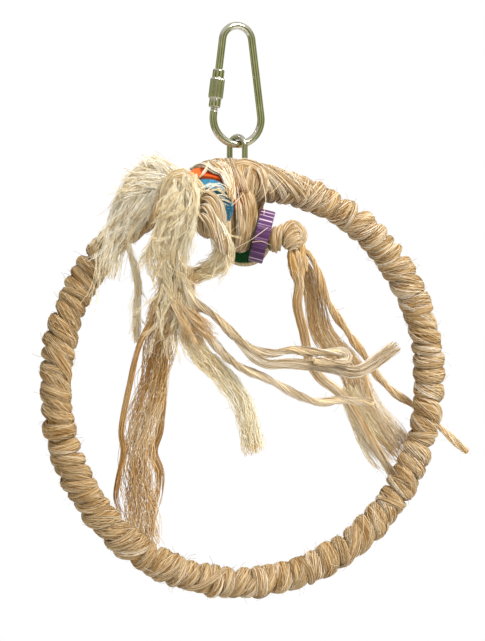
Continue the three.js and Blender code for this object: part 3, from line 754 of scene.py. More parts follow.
# Locks: how far each strays from its even place, from the first guide point to the last, past the guides and
# off its line; its width at both ends and its thickness as shares of the given width; and its fray
LOCK_STRAY = 0.4
LOCK_CROSSING = (-0.3, 1.0)
LOCK_OVERHANG = 0.1
LOCK_JITTER = 1.8
LOCK_START_WIDTH = 0.5
LOCK_END_WIDTHS = (0.8, 1.4)
LOCK_FLATNESS = 0.6
LOCK_FRAY = 0.25
FEWEST_LOCK_POINTS = 4


def locks(name, sides, count, width, seed, shortest=0.7, crossing=0.0, **settings):
    """Loose locks of hair that lie between two given guides, each of its own length; some cross over."""
    chance = random.Random(seed)
    one_side, other_side = np.array(sides, float)
    runs = []
    for number in range(count):
        share = (number + chance.uniform(-LOCK_STRAY, LOCK_STRAY)) / (count - 1)
        drift = np.linspace(*LOCK_CROSSING, len(one_side)) * chance.uniform(-crossing, crossing)
        share = np.clip(share + drift, -LOCK_OVERHANG, 1 + LOCK_OVERHANG)[:, None]
        guide = (1 - share) * one_side + share * other_side
        guide = guide + [[chance.uniform(-LOCK_JITTER, LOCK_JITTER) for _ in range(3)] for _ in guide]
        points = smooth_run(guide, TAIL_SPACING) + SEAT
        points = points[: max(FEWEST_LOCK_POINTS, int(len(points) * chance.uniform(shortest, 1.0)))]
        half_width = np.linspace(LOCK_START_WIDTH, chance.uniform(*LOCK_END_WIDTHS), len(points)) * width / 2
        runs.append(run_of(points, facing_frame(points, FACING), half_width, half_width * LOCK_FLATNESS))
    return strand(name, runs, Seed=seed, **{"Fray": LOCK_FRAY, **settings})


# Tangled locks: where along the hair they start, how far ahead its way is read, how high they lie over it,
# their lengths as shares of the given one, how much of the spread each step turns, half sizes and fray
TANGLE_STARTS = (0.03, 0.85)
TANGLE_AHEAD = 0.12
TANGLE_LIFTS = (0.6, 3.2)
TANGLE_LENGTHS = (0.6, 1.3)
TANGLE_TURNS = (1.0, 0.5, 0.5)
TANGLE_HALF_WIDTH = 0.9
TANGLE_HALF_THICK = 0.6
TANGLE_FRAY = 0.4
SHEET_SPACING = 1.0


def tangle(name, sides, count, length, spread, seed, **settings):
    """Short locks strewn over the hair between two guides, each turned a little from the hair's own way."""
    chance = random.Random(seed)
    one_side, other_side = [smooth_run(side, SHEET_SPACING) for side in sides]
    runs = []
    for _ in range(count):
        along = chance.uniform(*TANGLE_STARTS)
        share = chance.uniform(0, 1)
        near, far = [
            (1 - share) * one_side[int(at * (len(one_side) - 1))]
            + share * other_side[int(at * (len(other_side) - 1))]
            for at in (along, along + TANGLE_AHEAD)
        ]
        way = unit(far - near)
        aside = np.cross(FACING, way)
        turns = np.radians(np.cumsum([chance.gauss(0, spread * part) for part in TANGLE_TURNS]))
        steps = [way * math.cos(turn) + aside * math.sin(turn) for turn in turns]
        start = near + FACING * chance.uniform(*TANGLE_LIFTS)
        reach = length * chance.uniform(*TANGLE_LENGTHS) / len(TANGLE_TURNS)
        guide = np.concatenate([[start], start + np.cumsum(steps, axis=0) * reach])
        runs.append(flat_run(guide, TAIL_SPACING, TANGLE_HALF_WIDTH, TANGLE_HALF_THICK))
    return strand(name, runs, Seed=seed, Fray=TANGLE_FRAY, **settings)


# Guides in pairs, which loose hair lies between, and the two dark edges of the dark tail
TUFT_BRUSH = [
    [(-41.9, -27, 1.3), (-47.7, -24, 7.3), (-54, -21, 10.2)],
    [(-40.7, -29, -6.1), (-52.2, -26, -4.2), (-65.8, -22, -7)],
]
TUFT_FALL = [
    [(-56.8, -25, 0.6), (-65.3, -18, -11.8), (-70.4, -14.5, -24.5), (-74.9, -13, -36)],
    [(-48.5, -29, -5.5), (-53.5, -23, -16.5), (-57.1, -18, -25), (-60.9, -15, -35)],
]
RING_STRAYS = [
    [(-74.2, -15, -32.6), (-75.6, -13, -44.1), (-79.6, -12, -55.6), (-91.6, -11, -63.3)],
    [(-72.5, -14, -36.3), (-73.4, -12, -51), (-76.4, -11, -63.9), (-86, -11, -69.3)],
]
CURTAIN = [
    [(-44.9, -36, -1), (-48.5, -34, -12.4), (-52.4, -32, -27), (-55, -30, -40.5), (-49, -26, -50)],
    [(-35.6, -40, -0.1), (-36, -44, -10.3), (-38, -44, -22), (-40, -37, -37), (-34, -29, -53)],
]
CROSSING = [
    [(-48.5, -30, -46.7), (-43.3, -30, -54.5), (-34.3, -30, -60.2), (-23.5, -30, -55.6)],
    [(-47.2, -27, -55.5), (-41, -27, -63.8), (-33.2, -27, -67.1), (-25.9, -27, -76.4)],
]
BUNDLE_NECK = [
    [(-48.5, -29, -40), (-48, -27, -50.1), (-49, -24, -60.2), (-50.5, -20, -71.7), (-51.5, -17, -80)],
    [(-35, -32, -41.8), (-32.8, -30, -52.8), (-33.4, -29, -62), (-34.5, -26, -70), (-37, -22, -80)],
]
SPLAY = [
    [(-38, -30, -54), (-33, -31, -60), (-25.5, -31.5, -66.5), (-17, -31.5, -72)],
    [(-42, -29, -56), (-38, -29, -66), (-31, -27, -76), (-24, -25, -84)],
]
CURL = [
    [(-28, -44.5, -24), (-25, -41, -31.5), (-27, -36.5, -37), (-35, -32, -40)],
    [(-22.5, -44.5, -21.5), (-17.6, -41, -34), (-20.5, -36.5, -43.5), (-28.5, -33, -49)],
]
BLUE_STRAYS = [
    [(-31.4, -40, -5.2), (-25.4, -38, -1.5), (-19.2, -36, -4.5), (-12.6, -34, -9)],
    [(-30.7, -42, -11.9), (-23.8, -39, -9), (-17.6, -38, -12.1), (-13.6, -35, -16)],
]
FAN = [
    [(61.3, 3, -97.9), (74.4, 8, -110.7), (87.2, 12, -121.3), (94.7, 14, -126.7)],
    [(54.5, 2, -101.1), (65.2, 8, -120.5), (76.2, 12, -136), (89.7, 15, -147.8)],
]
WISP_SPREAD = 1.8
WISP = [[(x + aside, y, z) for x, y, z in LEFT_WISP] for aside in (-WISP_SPREAD, WISP_SPREAD)]
DARK_EDGE_LEFT = [
    (-47, -22, -60), (-54.6, -17, -76.4), (-57, -6, -100), (-57.6, 2, -116.9), (-55.2, 6, -127.7),
    (-57, 9, -141.1), (-57.2, 11, -150.8), (-53.1, 12, -160.7),
]
DARK_EDGE_RIGHT = [
    (-39, -25, -56), (-41.8, -18, -76.5), (-39.4, -6, -100.4), (-38.6, 2, -117.4), (-40.6, 6, -128.1),
    (-36.4, 9, -138.1), (-36.2, 11, -147.8), (-38.8, 13, -161.4), (-39.6, 13.5, -171.5),
]
DARK_EDGE_HALF_WIDTHS = (1.4, 2.3)
DARK_EDGE_HALF_THICK = 1.5

HAIR = {"Fibre Radius": 0.085 * MM, "Wander": 2.2, "Wander Length": 11 * MM, **PALE}
BRUSH_HAIR = {**HAIR, "Fibres": 28, "Fray": 0.1}
STRAW_HAIR = {**HAIR, **STRAW}
GOLD_HAIR = {**HAIR, **GOLD}
NECK_HAIR = {**GOLD_HAIR, "Fibres": 20, "Paleness": 0.12}
SPLAY_HAIR = {**GOLD_HAIR, "Fibres": 16, "Paleness": 0.1}
FRIZZY_HAIR = {**STRAW_HAIR, "Wander": 3.0, "Wander Length": 7 * MM}
LONG_STRAYS = {**HAIR, "Fibre Radius": 0.11 * MM}


# Each tail with its loose hair: locks by count, width and seed, tangles by count, length, spread and seed


def lay_bundle():
    """The left bundle: a frizzy curtain in front, a golden neck under it and a few locks that cross it."""
    name = "left_bundle"
    hair = [
        locks(name + "_curtain", CURTAIN, 34, 3.0, 50, crossing=0.5, Fibres=20, Fray=0.2, **FRIZZY_HAIR),
        tangle(name + "_tangle", CURTAIN, 130, 10, 27, 67, Fibres=6, **FRIZZY_HAIR),
        locks(name + "_crossing", CROSSING, 9, 3.0, 55, shortest=0.4, crossing=0.6, Fibres=3, **STRAW_HAIR),
        locks(name + "_neck", BUNDLE_NECK, 34, 3.2, 58, shortest=0.55, crossing=0.5, **NECK_HAIR),
        tangle(name + "_neck_tangle", BUNDLE_NECK, 90, 14, 22, 60, Fibres=6, **FRIZZY_HAIR),
    ]
    tail(name, LEFT_BUNDLE, "pale_sisal", hair, Fibres=130, Seed=11, Body=INNER_BODY, **COMBED_STRAW)


def lay_tuft():
    """The left tuft: a brush that stands up, a fall of hair from it and long strays down to the ring."""
    name = "left_tuft"
    hair = [
        locks(name + "_brush", TUFT_BRUSH, 40, 4.6, 51, shortest=0.92, crossing=0.2, **BRUSH_HAIR),
        locks(name + "_fall", TUFT_FALL, 28, 2.4, 52, shortest=0.45, crossing=0.5, Fibres=18, **HAIR),
        locks(name + "_long_strays", RING_STRAYS, 5, 2.0, 54, shortest=0.6, Fibres=2, **LONG_STRAYS),
        tangle(name + "_brush_tangle", TUFT_BRUSH, 36, 9, 16, 61, Fibres=6, **HAIR),
        tangle(name + "_fall_tangle", TUFT_FALL, 44, 14, 22, 62, Fibres=5, **HAIR),
    ]
    tail(name, LEFT_TUFT, "pale_sisal", hair, Fibres=130, Seed=12, **{**COMBED_PALE, "Wander": 1.2})


def lay_wisp():
    hair = [tangle("left_wisp_tangle", WISP, 30, 12, 12, 66, Fibres=4, **STRAW_HAIR)]
    tail("left_wisp", LEFT_WISP, "pale_sisal", hair, Fibres=70, Seed=13, **{**STRAW_HAIR, "Wander": 1.8})


def lay_curl():
    """The left curl: fluff round its bend, and strays over the blue slice above it."""
    name = "left_curl"
    hair = [
        locks(name + "_blue_strays", BLUE_STRAYS, 9, 1.5, 56, Fibres=4, **LONG_STRAYS),
        locks(name + "_fluff", CURL, 20, 2.8, 57, shortest=0.5, crossing=0.5, Fibres=20, **STRAW_HAIR),
        tangle(name + "_tangle", CURL, 40, 9, 27, 64, Fibres=5, **FRIZZY_HAIR),
    ]
    comb = {**COMBED_STRAW, "Body": INNER_BODY, "Wander": 1.1}
    tail(name, LEFT_CURL, "pale_sisal", hair, Fibres=150, Seed=14, **comb)


def lay_dark_tail():
    """The left dark tail: a sheer band of golden fibre between two dark edges."""
    name = "left_dark_tail"
    runs = []
    for edge, half_width in zip((DARK_EDGE_LEFT, DARK_EDGE_RIGHT), DARK_EDGE_HALF_WIDTHS):
        runs.append(flat_run(edge, TAIL_SPACING, half_width, DARK_EDGE_HALF_THICK))
    dark = {"Paleness": -0.22, "Paling": 0.6, **COMBED_GOLD}
    edges = strand(name + "_edges", runs, Fibres=56, Seed=23, Fray=0.35, **dark)
    comb = {**COMBED_GOLD, "Paleness": -0.15, "Paling": 1.9, "Wander": 1.9}
    tail(name, LEFT_DARK_TAIL, "dark_sisal", [edges], Fibres=170, Seed=15, **comb)


def lay_pale_tail():
    """The left pale tail, with a splay of golden locks at its root."""
    name = "left_pale_tail"
    hair = [locks(name + "_splay", SPLAY, 22, 2.8, 59, shortest=0.5, crossing=0.4, **SPLAY_HAIR)]
    comb = {**COMBED_STRAW, "Paleness": 0.03, "Wander": 1.5, "Wander Length": 11 * MM}
    tail(name, LEFT_PALE_TAIL, "pale_sisal", hair, Fibres=160, Seed=16, **comb)


def lay_left_yarns():
    """Two laid yarns that reach to the right, the upper one doubled back, and a flat ribbon between them."""
    tail("left_upper_yarn", [*LEFT_UPPER_YARN, *YARN_FOLD], "sisal", Seed=17, Paleness=0.12, **YARN)
    ribbon = [RIBBON_LEAD, *LEFT_RIBBON]
    tail("left_ribbon", ribbon, "dark_sisal", Fibres=120, Seed=18, Paleness=0.15, **COMBED)
    tail("left_lower_yarn", LEFT_LOWER_YARN, "sisal", Seed=19, Paleness=0.2, **YARN)


def lay_right_tails():
    """The right knot's tails: a narrow one inside, a broad one that fans out at its foot, and a laid yarn."""
    comb = {**COMBED_GOLD, "Body": INNER_BODY, "Paling": 2.0}
    tail("right_inner_tail", RIGHT_INNER_TAIL, "sisal", Fibres=110, Seed=20, **comb)
    fan = [locks("right_broad_tail_fan", FAN, 26, 3.4, 65, crossing=0.3, Fibres=14, **STRAW_HAIR)]
    tail("right_broad_tail", RIGHT_BROAD_TAIL, "sisal", fan, Fibres=190, Seed=21, Paling=2.6, **COMBED_GOLD)
    tail("right_yarn", RIGHT_YARN, "sisal", Seed=22, Paleness=0.08, Paling=1.2, **{**YARN, **GOLD})


lay_bundle()
lay_tuft()
lay_wisp()
lay_curl()
lay_dark_tail()
lay_pale_tail()
lay_left_yarns()
lay_right_tails()


# Bound hoop: a bed of packed sisal and the outer turns, wound by hand and so uneven

BED_RADIUS = 4.4
BED_STEPS = 160
WRAP_TURNS = 84
WRAP_STEPS = 18
WRAP_RADIUS = 5.15
WRAP_HALF_THICK = 2.6
WRAP_MARGIN = 6.25
WRAP_CLEAR = NOTCH_ANGLE + WRAP_MARGIN / HOOP_RADIUS
WRAP_SWEEP = FULL_TURN - WRAP_CLEAR
WRAP_SECTIONS = 4
# How far turns differ: gaps as shares of an even one, leans along the hoop and lifts off it; a turn fills a
# share of its gap, and is a little thicker where it is lifted
WRAP_GAPS = (0.6, 1.4)
WRAP_LEANS = (-2.2, 2.8)
WRAP_LIFTS = (-0.5, 0.6)
WRAP_FILL = 0.52
LIFT_PER_THICKENING = 3
WRAP_DRAW = 4
WRAP_STRAND = {
    "Fibres": 48,
    "Fibre Radius": 0.15 * MM,
    "Twist": 24.0,
    "Innermost": 0.82,
    "Wander": 0.4,
    "Wander Length": 9 * MM,
    "Body": 0.84,
    "Lumps": 0.2,
    "Fray": 0.0,
    "Paleness": 0.13,
    # Paling: painted shade, the turns darker along the winding so the left side is darker than the upper right
    "Paling": -0.11,
    "Seed": 3,
}
WRAP_STRAYS = {"Per Area": 16000.0, "Length": 5 * MM}


def hoop_out(angle):
    return np.stack([np.sin(angle), np.zeros_like(angle), np.cos(angle)], axis=-1)


def on_hoop(angle):
    return HOOP_CENTRE + HOOP_RADIUS * hoop_out(angle)


def around_hoop(angle, phase):
    """Directions off the hoop's wire: phase 0 points away from the hoop's centre, a quarter turn on to +Y."""
    out = hoop_out(angle) * np.cos(phase)[:, None]
    out[:, 1] = np.sin(phase)
    return out


def beside_on_hoop(points):
    """The wire of the hoop's upper half at the same X as each point."""
    return on_hoop(np.arcsin((points[:, 0] - HOOP_OFFSET) / HOOP_RADIUS))


def outer_turns():
    """The strand's run round the hoop, its outward directions and its half sizes at each point."""
    chance = random.Random(WRAP_DRAW)
    gaps = np.array([chance.uniform(*WRAP_GAPS) for _ in range(WRAP_TURNS)])
    gaps *= WRAP_TURNS / gaps.sum()
    marks = np.concatenate([[0], np.cumsum(gaps)])
    leans = np.array([chance.uniform(*WRAP_LEANS) for _ in range(WRAP_TURNS + 1)])
    lifts = np.array([chance.uniform(*WRAP_LIFTS) for _ in range(WRAP_TURNS + 1)])
    turn = np.arange(WRAP_TURNS * WRAP_STEPS + 1) / WRAP_STEPS
    whole = np.arange(WRAP_TURNS + 1)
    phase = FULL_TURN * turn
    lean = np.interp(turn, whole, leans) / HOOP_RADIUS * np.cos(phase)
    angle = SEAT_ANGLE + WRAP_CLEAR / 2 + WRAP_SWEEP * np.interp(turn, whole, marks) / WRAP_TURNS + lean
    out = around_hoop(angle, phase)
    lift = np.interp(turn, whole, lifts)
    points = on_hoop(angle) + out * (WRAP_RADIUS + lift)[:, None]
    pitch = HOOP_RADIUS * WRAP_SWEEP / WRAP_TURNS
    half_width = WRAP_FILL * pitch * np.interp(turn, np.arange(WRAP_TURNS) + 0.5, gaps)
    return points, out, half_width, WRAP_HALF_THICK + lift / LIFT_PER_THICKENING


def wind_hoop():
    angles = SEAT_ANGLE + np.linspace(NOTCH_ANGLE / 2, FULL_TURN - NOTCH_ANGLE / 2, BED_STEPS)
    level = np.tile([0.0, 1, 0], (BED_STEPS, 1))
    bed_run = run_of(on_hoop(angles), (level, hoop_out(angles)), BED_RADIUS, BED_RADIUS)
    # The bed wears the dark golden body: painted shade where it shows in the gaps between the turns
    bed = strand("hoop_bed", [bed_run], Fibres=1, Body=1.0, **{"Body Finish": gold_body_painted_shade})
    settle(bed, "ring_under_wrap")
    points, out, half_width, half_thick = outer_turns()
    wide, thick = facing_frame(points, out)
    reach = lengths_along(points)
    share = WRAP_TURNS // WRAP_SECTIONS * WRAP_STEPS
    for section in range(WRAP_SECTIONS):
        part = slice(section * share, (section + 1) * share + 1)
        across = wide[part], thick[part]
        run = run_of(points[part], across, half_width[part], half_thick[part], reach[part][0])
        turns = strand(f"hoop_turns_{section + 1}", [run], **WRAP_STRAND)
        settle(turns, "ring_wrap")
        loose = strays(f"hoop_strays_{section + 1}", turns, Seed=section, **WRAP_STRAYS)
        settle(loose, "ring_wrap")


# Loose turns: flatter strands that cross a few of the outer turns aslant, over the front of the hoop
LOOSE_TURNS = 22
LOOSE_STEPS = 26
# Each strays from its even place, leans along the hoop, reaches some degrees both ways round it from the
# front, is lifted, dips and narrows at both ends, and starts somewhere along the noise
LOOSE_CLEAR = 0.3
LOOSE_STRAY = 0.35
LOOSE_LEANS = (-0.04, 0.13)
LOOSE_FRONT = 0.75 * FULL_TURN
LOOSE_REACHES = (85, 120)
LOOSE_RADIUS = 6.7
LOOSE_LIFTS = (-0.2, 0.5)
LOOSE_DIP = 1.6
LOOSE_HALF_WIDTHS = (1.6, 3.4)
LOOSE_NARROWING = 0.5
LOOSE_HALF_THICK = 1.25
LOOSE_STARTS = (0, 900)
LOOSE_DRAW = 9
LOOSE_STRAND = {
    "Fibres": 36,
    "Fibre Radius": 0.14 * MM,
    "Twist": 10.0,
    "Innermost": 0.75,
    "Wander": 0.5,
    "Wander Length": 10 * MM,
    "Body": 0.78,
    "Lumps": 0.25,
    "Fray": 0.06,
    "Paleness": -0.06,
    "Seed": 5,
}


def lay_loose_turns():
    chance = random.Random(LOOSE_DRAW)
    share = np.linspace(-1, 1, LOOSE_STEPS)
    runs = []
    for number in range(LOOSE_TURNS):
        place = (number + chance.uniform(-LOOSE_STRAY, LOOSE_STRAY)) / LOOSE_TURNS
        middle = SEAT_ANGLE + LOOSE_CLEAR + place * (FULL_TURN - 2 * LOOSE_CLEAR)
        angle = middle + chance.uniform(*LOOSE_LEANS) * share
        out = around_hoop(angle, LOOSE_FRONT + math.radians(chance.uniform(*LOOSE_REACHES)) * share)
        lift = LOOSE_RADIUS + chance.uniform(*LOOSE_LIFTS) - LOOSE_DIP * np.abs(share) ** 3
        points = on_hoop(angle) + out * lift[:, None]
        half_width = chance.uniform(*LOOSE_HALF_WIDTHS) * (1 - LOOSE_NARROWING * share**4)
        start = chance.uniform(*LOOSE_STARTS)
        runs.append(run_of(points, facing_frame(points, out), half_width, LOOSE_HALF_THICK, start))
    settle(strand("hoop_loose_turns", runs, **LOOSE_STRAND), "ring_wrap")


wind_hoop()
lay_loose_turns()


# Hitched rope

# The rope's way round the hoop: X along the hoop, and degrees from the front over the top to the back
HITCH = [
    (-18.6, 16), (-16.2, 48), (-12.8, 90), (-9.5, 130), (-7.5, 175), (-5.5, 215), (-3.4, 255), (-1.4, 295),
    (0.4, 335), (2.8, 370), (6.3, 410), (7.9, 450), (8.9, 490), (9.6, 540), (9.4, 590), (9.2, 640),
    (9.3, 690), (10.2, 730), (12.6, 770), (14.6, 810), (16, 850), (16.6, 895),
]
HITCH_DROP = [(16.6, 14.2, -10), (15.4, 16.4, -19)]
# Distance of the hitch's flattened turns from the wire, by place along the hoop
HITCH_ALONG = (-14, -4, 5, 17, 35)
HITCH_DISTANCE = (10.8, 10.6, 9.0, 7.0, 5.2)
ROPE_RADIUS = 3.1
ROPE_HALF_SIZES = (2.9, 2.7)
ROPE_SPACING = 1.4
ROPE_SINK = 1.4
# How far short of the left and front knots' middles the rope ends
LEFT_STOP = 0.35
FRONT_STOP = 7.25
ROPE = {
    "Fibres": 44,
    "Fibre Radius": 0.14 * MM,
    "Twist": 14.0,
    "Plies": 2,
    "Ply Spread": 0.3,
    "Innermost": 0.5,
    "Wander": 0.4,
    "Body": 0.72,
    "Lumps": 0.2,
}
KNOT_STRAND = {
    "Fibres": 36,
    "Fibre Radius": 0.16 * MM,
    "Twist": 8.0,
    "Innermost": 0.8,
    "Wander": 0.4,
    "Body": 0.84,
    "Lumps": 0.2,
    "Fray": 0.0,
}
# Strands laid loosely by hand, their fibres parting at the ends
LAID_STRAND = {
    **KNOT_STRAND,
    "Fibres": 48,
    "Fibre Radius": 0.15 * MM,
    "Innermost": 0.7,
    "Wander": 0.7,
    "Wander Length": 10 * MM,
    "Body": 0.76,
    "Lumps": 0.3,
    "Fray": 0.1,
}
LAID_FLATNESS = 0.7
HITCH_PALENESS = 0.12


def hitch_point(x, degrees, lift=0.0):
    """A point of the hitch: x along the hoop, and degrees round it, from the front over the top."""
    radius = np.interp(x, HITCH_ALONG, HITCH_DISTANCE) + lift
    angle = np.array(math.asin((x - HOOP_OFFSET) / HOOP_RADIUS))
    out = hoop_out(angle) * math.sin(math.radians(degrees))
    out[1] = -math.cos(math.radians(degrees))
    return on_hoop(angle) + out * radius


def upright_axes(direction):
    """Three square directions: level and across the given one, along it, and up in the plane square to it."""
    across = unit(np.cross(direction, UP))
    return across, np.array(direction), np.cross(across, direction)


def tie_rope():
    route = [
        LEFT_KNOT - LEFT_STOP * LEFT_END,
        BLUE,
        ORANGE,
        *[hitch_point(x, degrees, -ROPE_SINK) for x, degrees in HITCH],
        *[np.array(place) + SEAT for place in HITCH_DROP],
        GREEN - (SLICE_HALF + 2 * ROPE_RADIUS) * GREEN_END,
        GREEN,
        FRONT_KNOT - FRONT_STOP * GREEN_END,
    ]
    points = smooth_run(route, ROPE_SPACING)
    run = run_of(points, carried_frame(points, UP), *ROPE_HALF_SIZES)
    settle(strand("hitched_rope", [run], Seed=31, **ROPE), "toy_rope")


# Flattened turns under the loose strands: where each starts and ends along the hoop and round it, and lift
HITCH_TURNS = [
    (-13.0, -9.5, 150, -70, 0.2),
    (-8.5, -7.5, 140, -75, 0.6),
    (-2.5, -4.5, 232, -75, 0.3),
    (4.0, 0.5, 226, -75, 0.6),
    (9.5, 5.0, 220, -65, 0.3),
    (16.5, 10.5, 150, -75, 0.6),
    (22.5, 16.5, 170, -80, 0.4),
    (28.0, 23.0, 190, -80, 0.6),
]
HITCH_TURN_STEPS = 32
HITCH_TURN_HALF_SIZES = (3.4, 1.7)
# Strands laid over the chain link's foot, in front and behind
SADDLE_FRONT = [(-15, -9, -77), (-8, -10, -69.5), (0, -10, -66.5), (8, -9, -69), (16, -8.5, -75)]
SADDLE_BACK = [(x, -y, z) for x, y, z in SADDLE_FRONT]
SADDLE_HALF_SIZES = (4.2, 1.6)


def wind_hitch():
    runs = []
    for x, end_x, first, last, lift in HITCH_TURNS:
        share = np.linspace(0, 1, HITCH_TURN_STEPS)
        turn = [hitch_point(x + (end_x - x) * s, first + (last - first) * s, lift) for s in share]
        turn = np.array(turn)
        runs.append(run_of(turn, facing_frame(turn, turn - beside_on_hoop(turn)), *HITCH_TURN_HALF_SIZES))
    for saddle, facing in ((SADDLE_FRONT, (0.0, -1, 0)), (SADDLE_BACK, (0.0, 1, 0))):
        points = smooth_run(saddle, ROPE_SPACING)
        runs.append(run_of(points, facing_frame(points, np.array(facing)), *SADDLE_HALF_SIZES))
    turns = strand("hitch_turns", runs, Seed=32, Paleness=HITCH_PALENESS, **KNOT_STRAND)
    settle(turns, "toy_rope")


# Loose strands over the hitch: half width, then places along the hoop, round it and lift
HITCH_STRANDS = [
    (2.2, [(1.5, 105, 0.2), (-0.9, 45, 2.2), (-5, 5, 3.6), (-8, -35, 2.4), (-7, -70, 0.6)]),
    (1.9, [(5.0, 98, 0.4), (2.7, 38, 2.6), (-0.6, -3, 3.2), (-3.0, -32, 2.4), (-3.5, -70, 0.6)]),
    (2.1, [(6.0, 95, 0.4), (6.8, 42, 2.4), (9.5, 1, 3.0), (8.2, -36, 1.8), (5.0, -78, 0.4)]),
    (1.5, [(8, 100, 0.2), (15, 74, 0.9), (24, 50, 1.2), (34, 22, 0.8), (40, -14, 0.3)]),
    (2.0, [(7, 78, 1.0), (13, 48, 1.8), (21, 22, 2.0), (30, -6, 1.6), (37, -42, 0.6)]),
    (1.4, [(9, 55, 1.8), (15, 24, 2.6), (23, -4, 2.4), (29, -34, 1.6), (33, -70, 0.4)]),
    (1.8, [(10, 30, 2.4), (15.5, 0, 2.8), (21, -28, 2.2), (24.5, -64, 1.0)]),
    (1.5, [(12, 4, 2.6), (14.5, -26, 2.2), (16, -52, 1.4), (15.5, -84, 0.4)]),
    (1.6, [(16, 112, 0.2), (24, 88, 0.6), (33, 62, 0.9), (41, 34, 0.5)]),
    (1.3, [(19, 60, 1.4), (25, 34, 1.8), (30, 2, 1.6), (30.5, -40, 0.8), (28, -80, 0.3)]),
    (
        2.0,
        [(-3.5, 110, 0.2), (-4.5, 62, 1.4), (-5.0, 28, 3.2), (-2.6, -4, 4.2), (1.0, -36, 3.0), (2, -74, 0.8)],
    ),
    (2.2, [(-11, 125, 0.2), (-12, 72, 0.9), (-12.5, 36, 2.2), (-12.5, 5, 1.2)]),
    (1.4, [(-8, 140, 0.2), (-3, 112, 0.5), (5, 96, 0.8), (13, 92, 0.6)]),
]
HITCH_STRAND_HALF_THICK = 1.5
# Strands over the rims of the orange and blue slices: half width, place along the hoop where each leaves the
# hitch's top, then places aside from the slices' axis and along it
RIM_STRANDS = [
    (0.6, -15, [(1.0, -3.0), (-0.5, 2.9), (-3.4, 7.7)]),
    (1.7, -20, [(-0.5, -2.2), (3.4, 1.2), (7.2, 1.8), (9.6, 6.8), (10.6, 13.0)]),
    (1.9, -16, [(3.4, -3.6), (6.7, -1.4), (9.1, 2.8), (10.6, 9.3), (11.0, 17.0)]),
    (1.8, -12, [(6.7, -5.5), (9.1, -1.7), (11.0, 5.1), (11.5, 14.2)]),
    (1.5, -8, [(9.5, -6.0), (11.5, 0.0), (12.5, 8.0), (12.2, 18.0)]),
]
# The first two points of each, on the hitch's top: ahead of its place along the hoop, round it and lift
RIM_LEADS = [(1.5, 112, -0.8), (0.0, 78, -0.2)]
RIM_LIFT = 14.4
RIM_HALF_THICK = 1.1
# Lengths between which a rim strand turns its flat side from the wire to the slices
RIM_TURNS = (4, 14)


def thinning_run(points, facing, half_width, half_thick, number):
    """A run that thins at both ends, its flat side to a facing; its number gives it a noise of its own."""
    half_sizes = tapered(points, half_width), tapered(points, half_thick)
    return run_of(points, facing_frame(points, facing), *half_sizes, NEXT_STRAND * number)


def lay_hitch_strands():
    runs = []
    for half_width, places in HITCH_STRANDS:
        points = smooth_run([hitch_point(*place) for place in places], STRAND_SPACING)
        off_wire = points - beside_on_hoop(points)
        runs.append(thinning_run(points, off_wire, half_width, HITCH_STRAND_HALF_THICK, len(runs)))
    aside, axis, over = upright_axes(LEFT_END)
    for half_width, x, places in RIM_STRANDS:
        guide = [hitch_point(x + ahead, degrees, lift) for ahead, degrees, lift in RIM_LEADS]
        for to_side, along in places:
            up = math.sqrt(RIM_LIFT**2 - to_side**2)
            guide.append(ORANGE - to_side * aside + up * over + along * axis)
        points = smooth_run(guide, STRAND_SPACING)
        off_slices = unit(points - ORANGE - np.outer((points - ORANGE) @ axis, axis))
        off_wire = unit(points - beside_on_hoop(points))
        onto = np.interp(lengths_along(points), RIM_TURNS, [0, 1])[:, None]
        facing = (1 - onto) * off_wire + onto * off_slices
        runs.append(thinning_run(points, facing, half_width, RIM_HALF_THICK, len(runs)))
    strands = strand("hitch_strands", runs, Seed=33, Paleness=HITCH_PALENESS, **LAID_STRAND)
    settle(strands, "toy_rope")


tie_rope()
wind_hitch()
lay_hitch_strands()


# Knots: wound balls with strands laid over them

FRONT_KNOT_STRANDS = [
    [
        (0.5, -8, -3), (0.6, -16, -6.5), (0.6, -19.5, -11.5),
        (0.9, -19.5, -17.2), (-0.5, -18, -25.2), (-2.5, -13, -32.5),
    ],
    [
        (-2.4, -9, -4.5), (-3.2, -17.5, -7.5), (-2.9, -21, -12.5),
        (-2.6, -21.5, -19.2), (-2.8, -19, -27.1), (-3.5, -12, -33.5),
    ],
    [
        (-5, -9, -6), (-6.2, -17.5, -10), (-6.5, -20.5, -15.5),
        (-6.1, -21, -22), (-5.3, -17, -29.4), (-4.2, -11, -33),
    ],
    [(-7.5, -9, -9), (-9, -15.5, -13.5), (-9.2, -17, -19), (-8.4, -16, -25.5), (-6, -11, -31)],
]
LEFT_KNOT_STRANDS = [
    [
        (-33.5, -40, -6.8), (-28.9, -43, -7.4), (-24.3, -43, -12.3),
        (-22.3, -42, -19.2), (-21.6, -43, -26), (-20.2, -42, -33),
    ],
    [
        (-34, -42, -9.6), (-30.6, -45.5, -10.3), (-27.4, -46, -15.3),
        (-25.6, -45.5, -22), (-23.6, -45.5, -28.5), (-20.8, -43, -35),
    ],
    [
        (-34.5, -43, -12.8), (-32.2, -47, -13.6), (-29.6, -47.5, -18),
        (-28.1, -47.5, -23), (-25.8, -47, -29), (-22.5, -43.5, -36),
    ],
    [
        (-34.8, -43, -16.4), (-33.6, -47, -17.7), (-31.2, -47.5, -20.7),
        (-29.5, -47.5, -24.2), (-26.4, -46.5, -31),
    ],
]
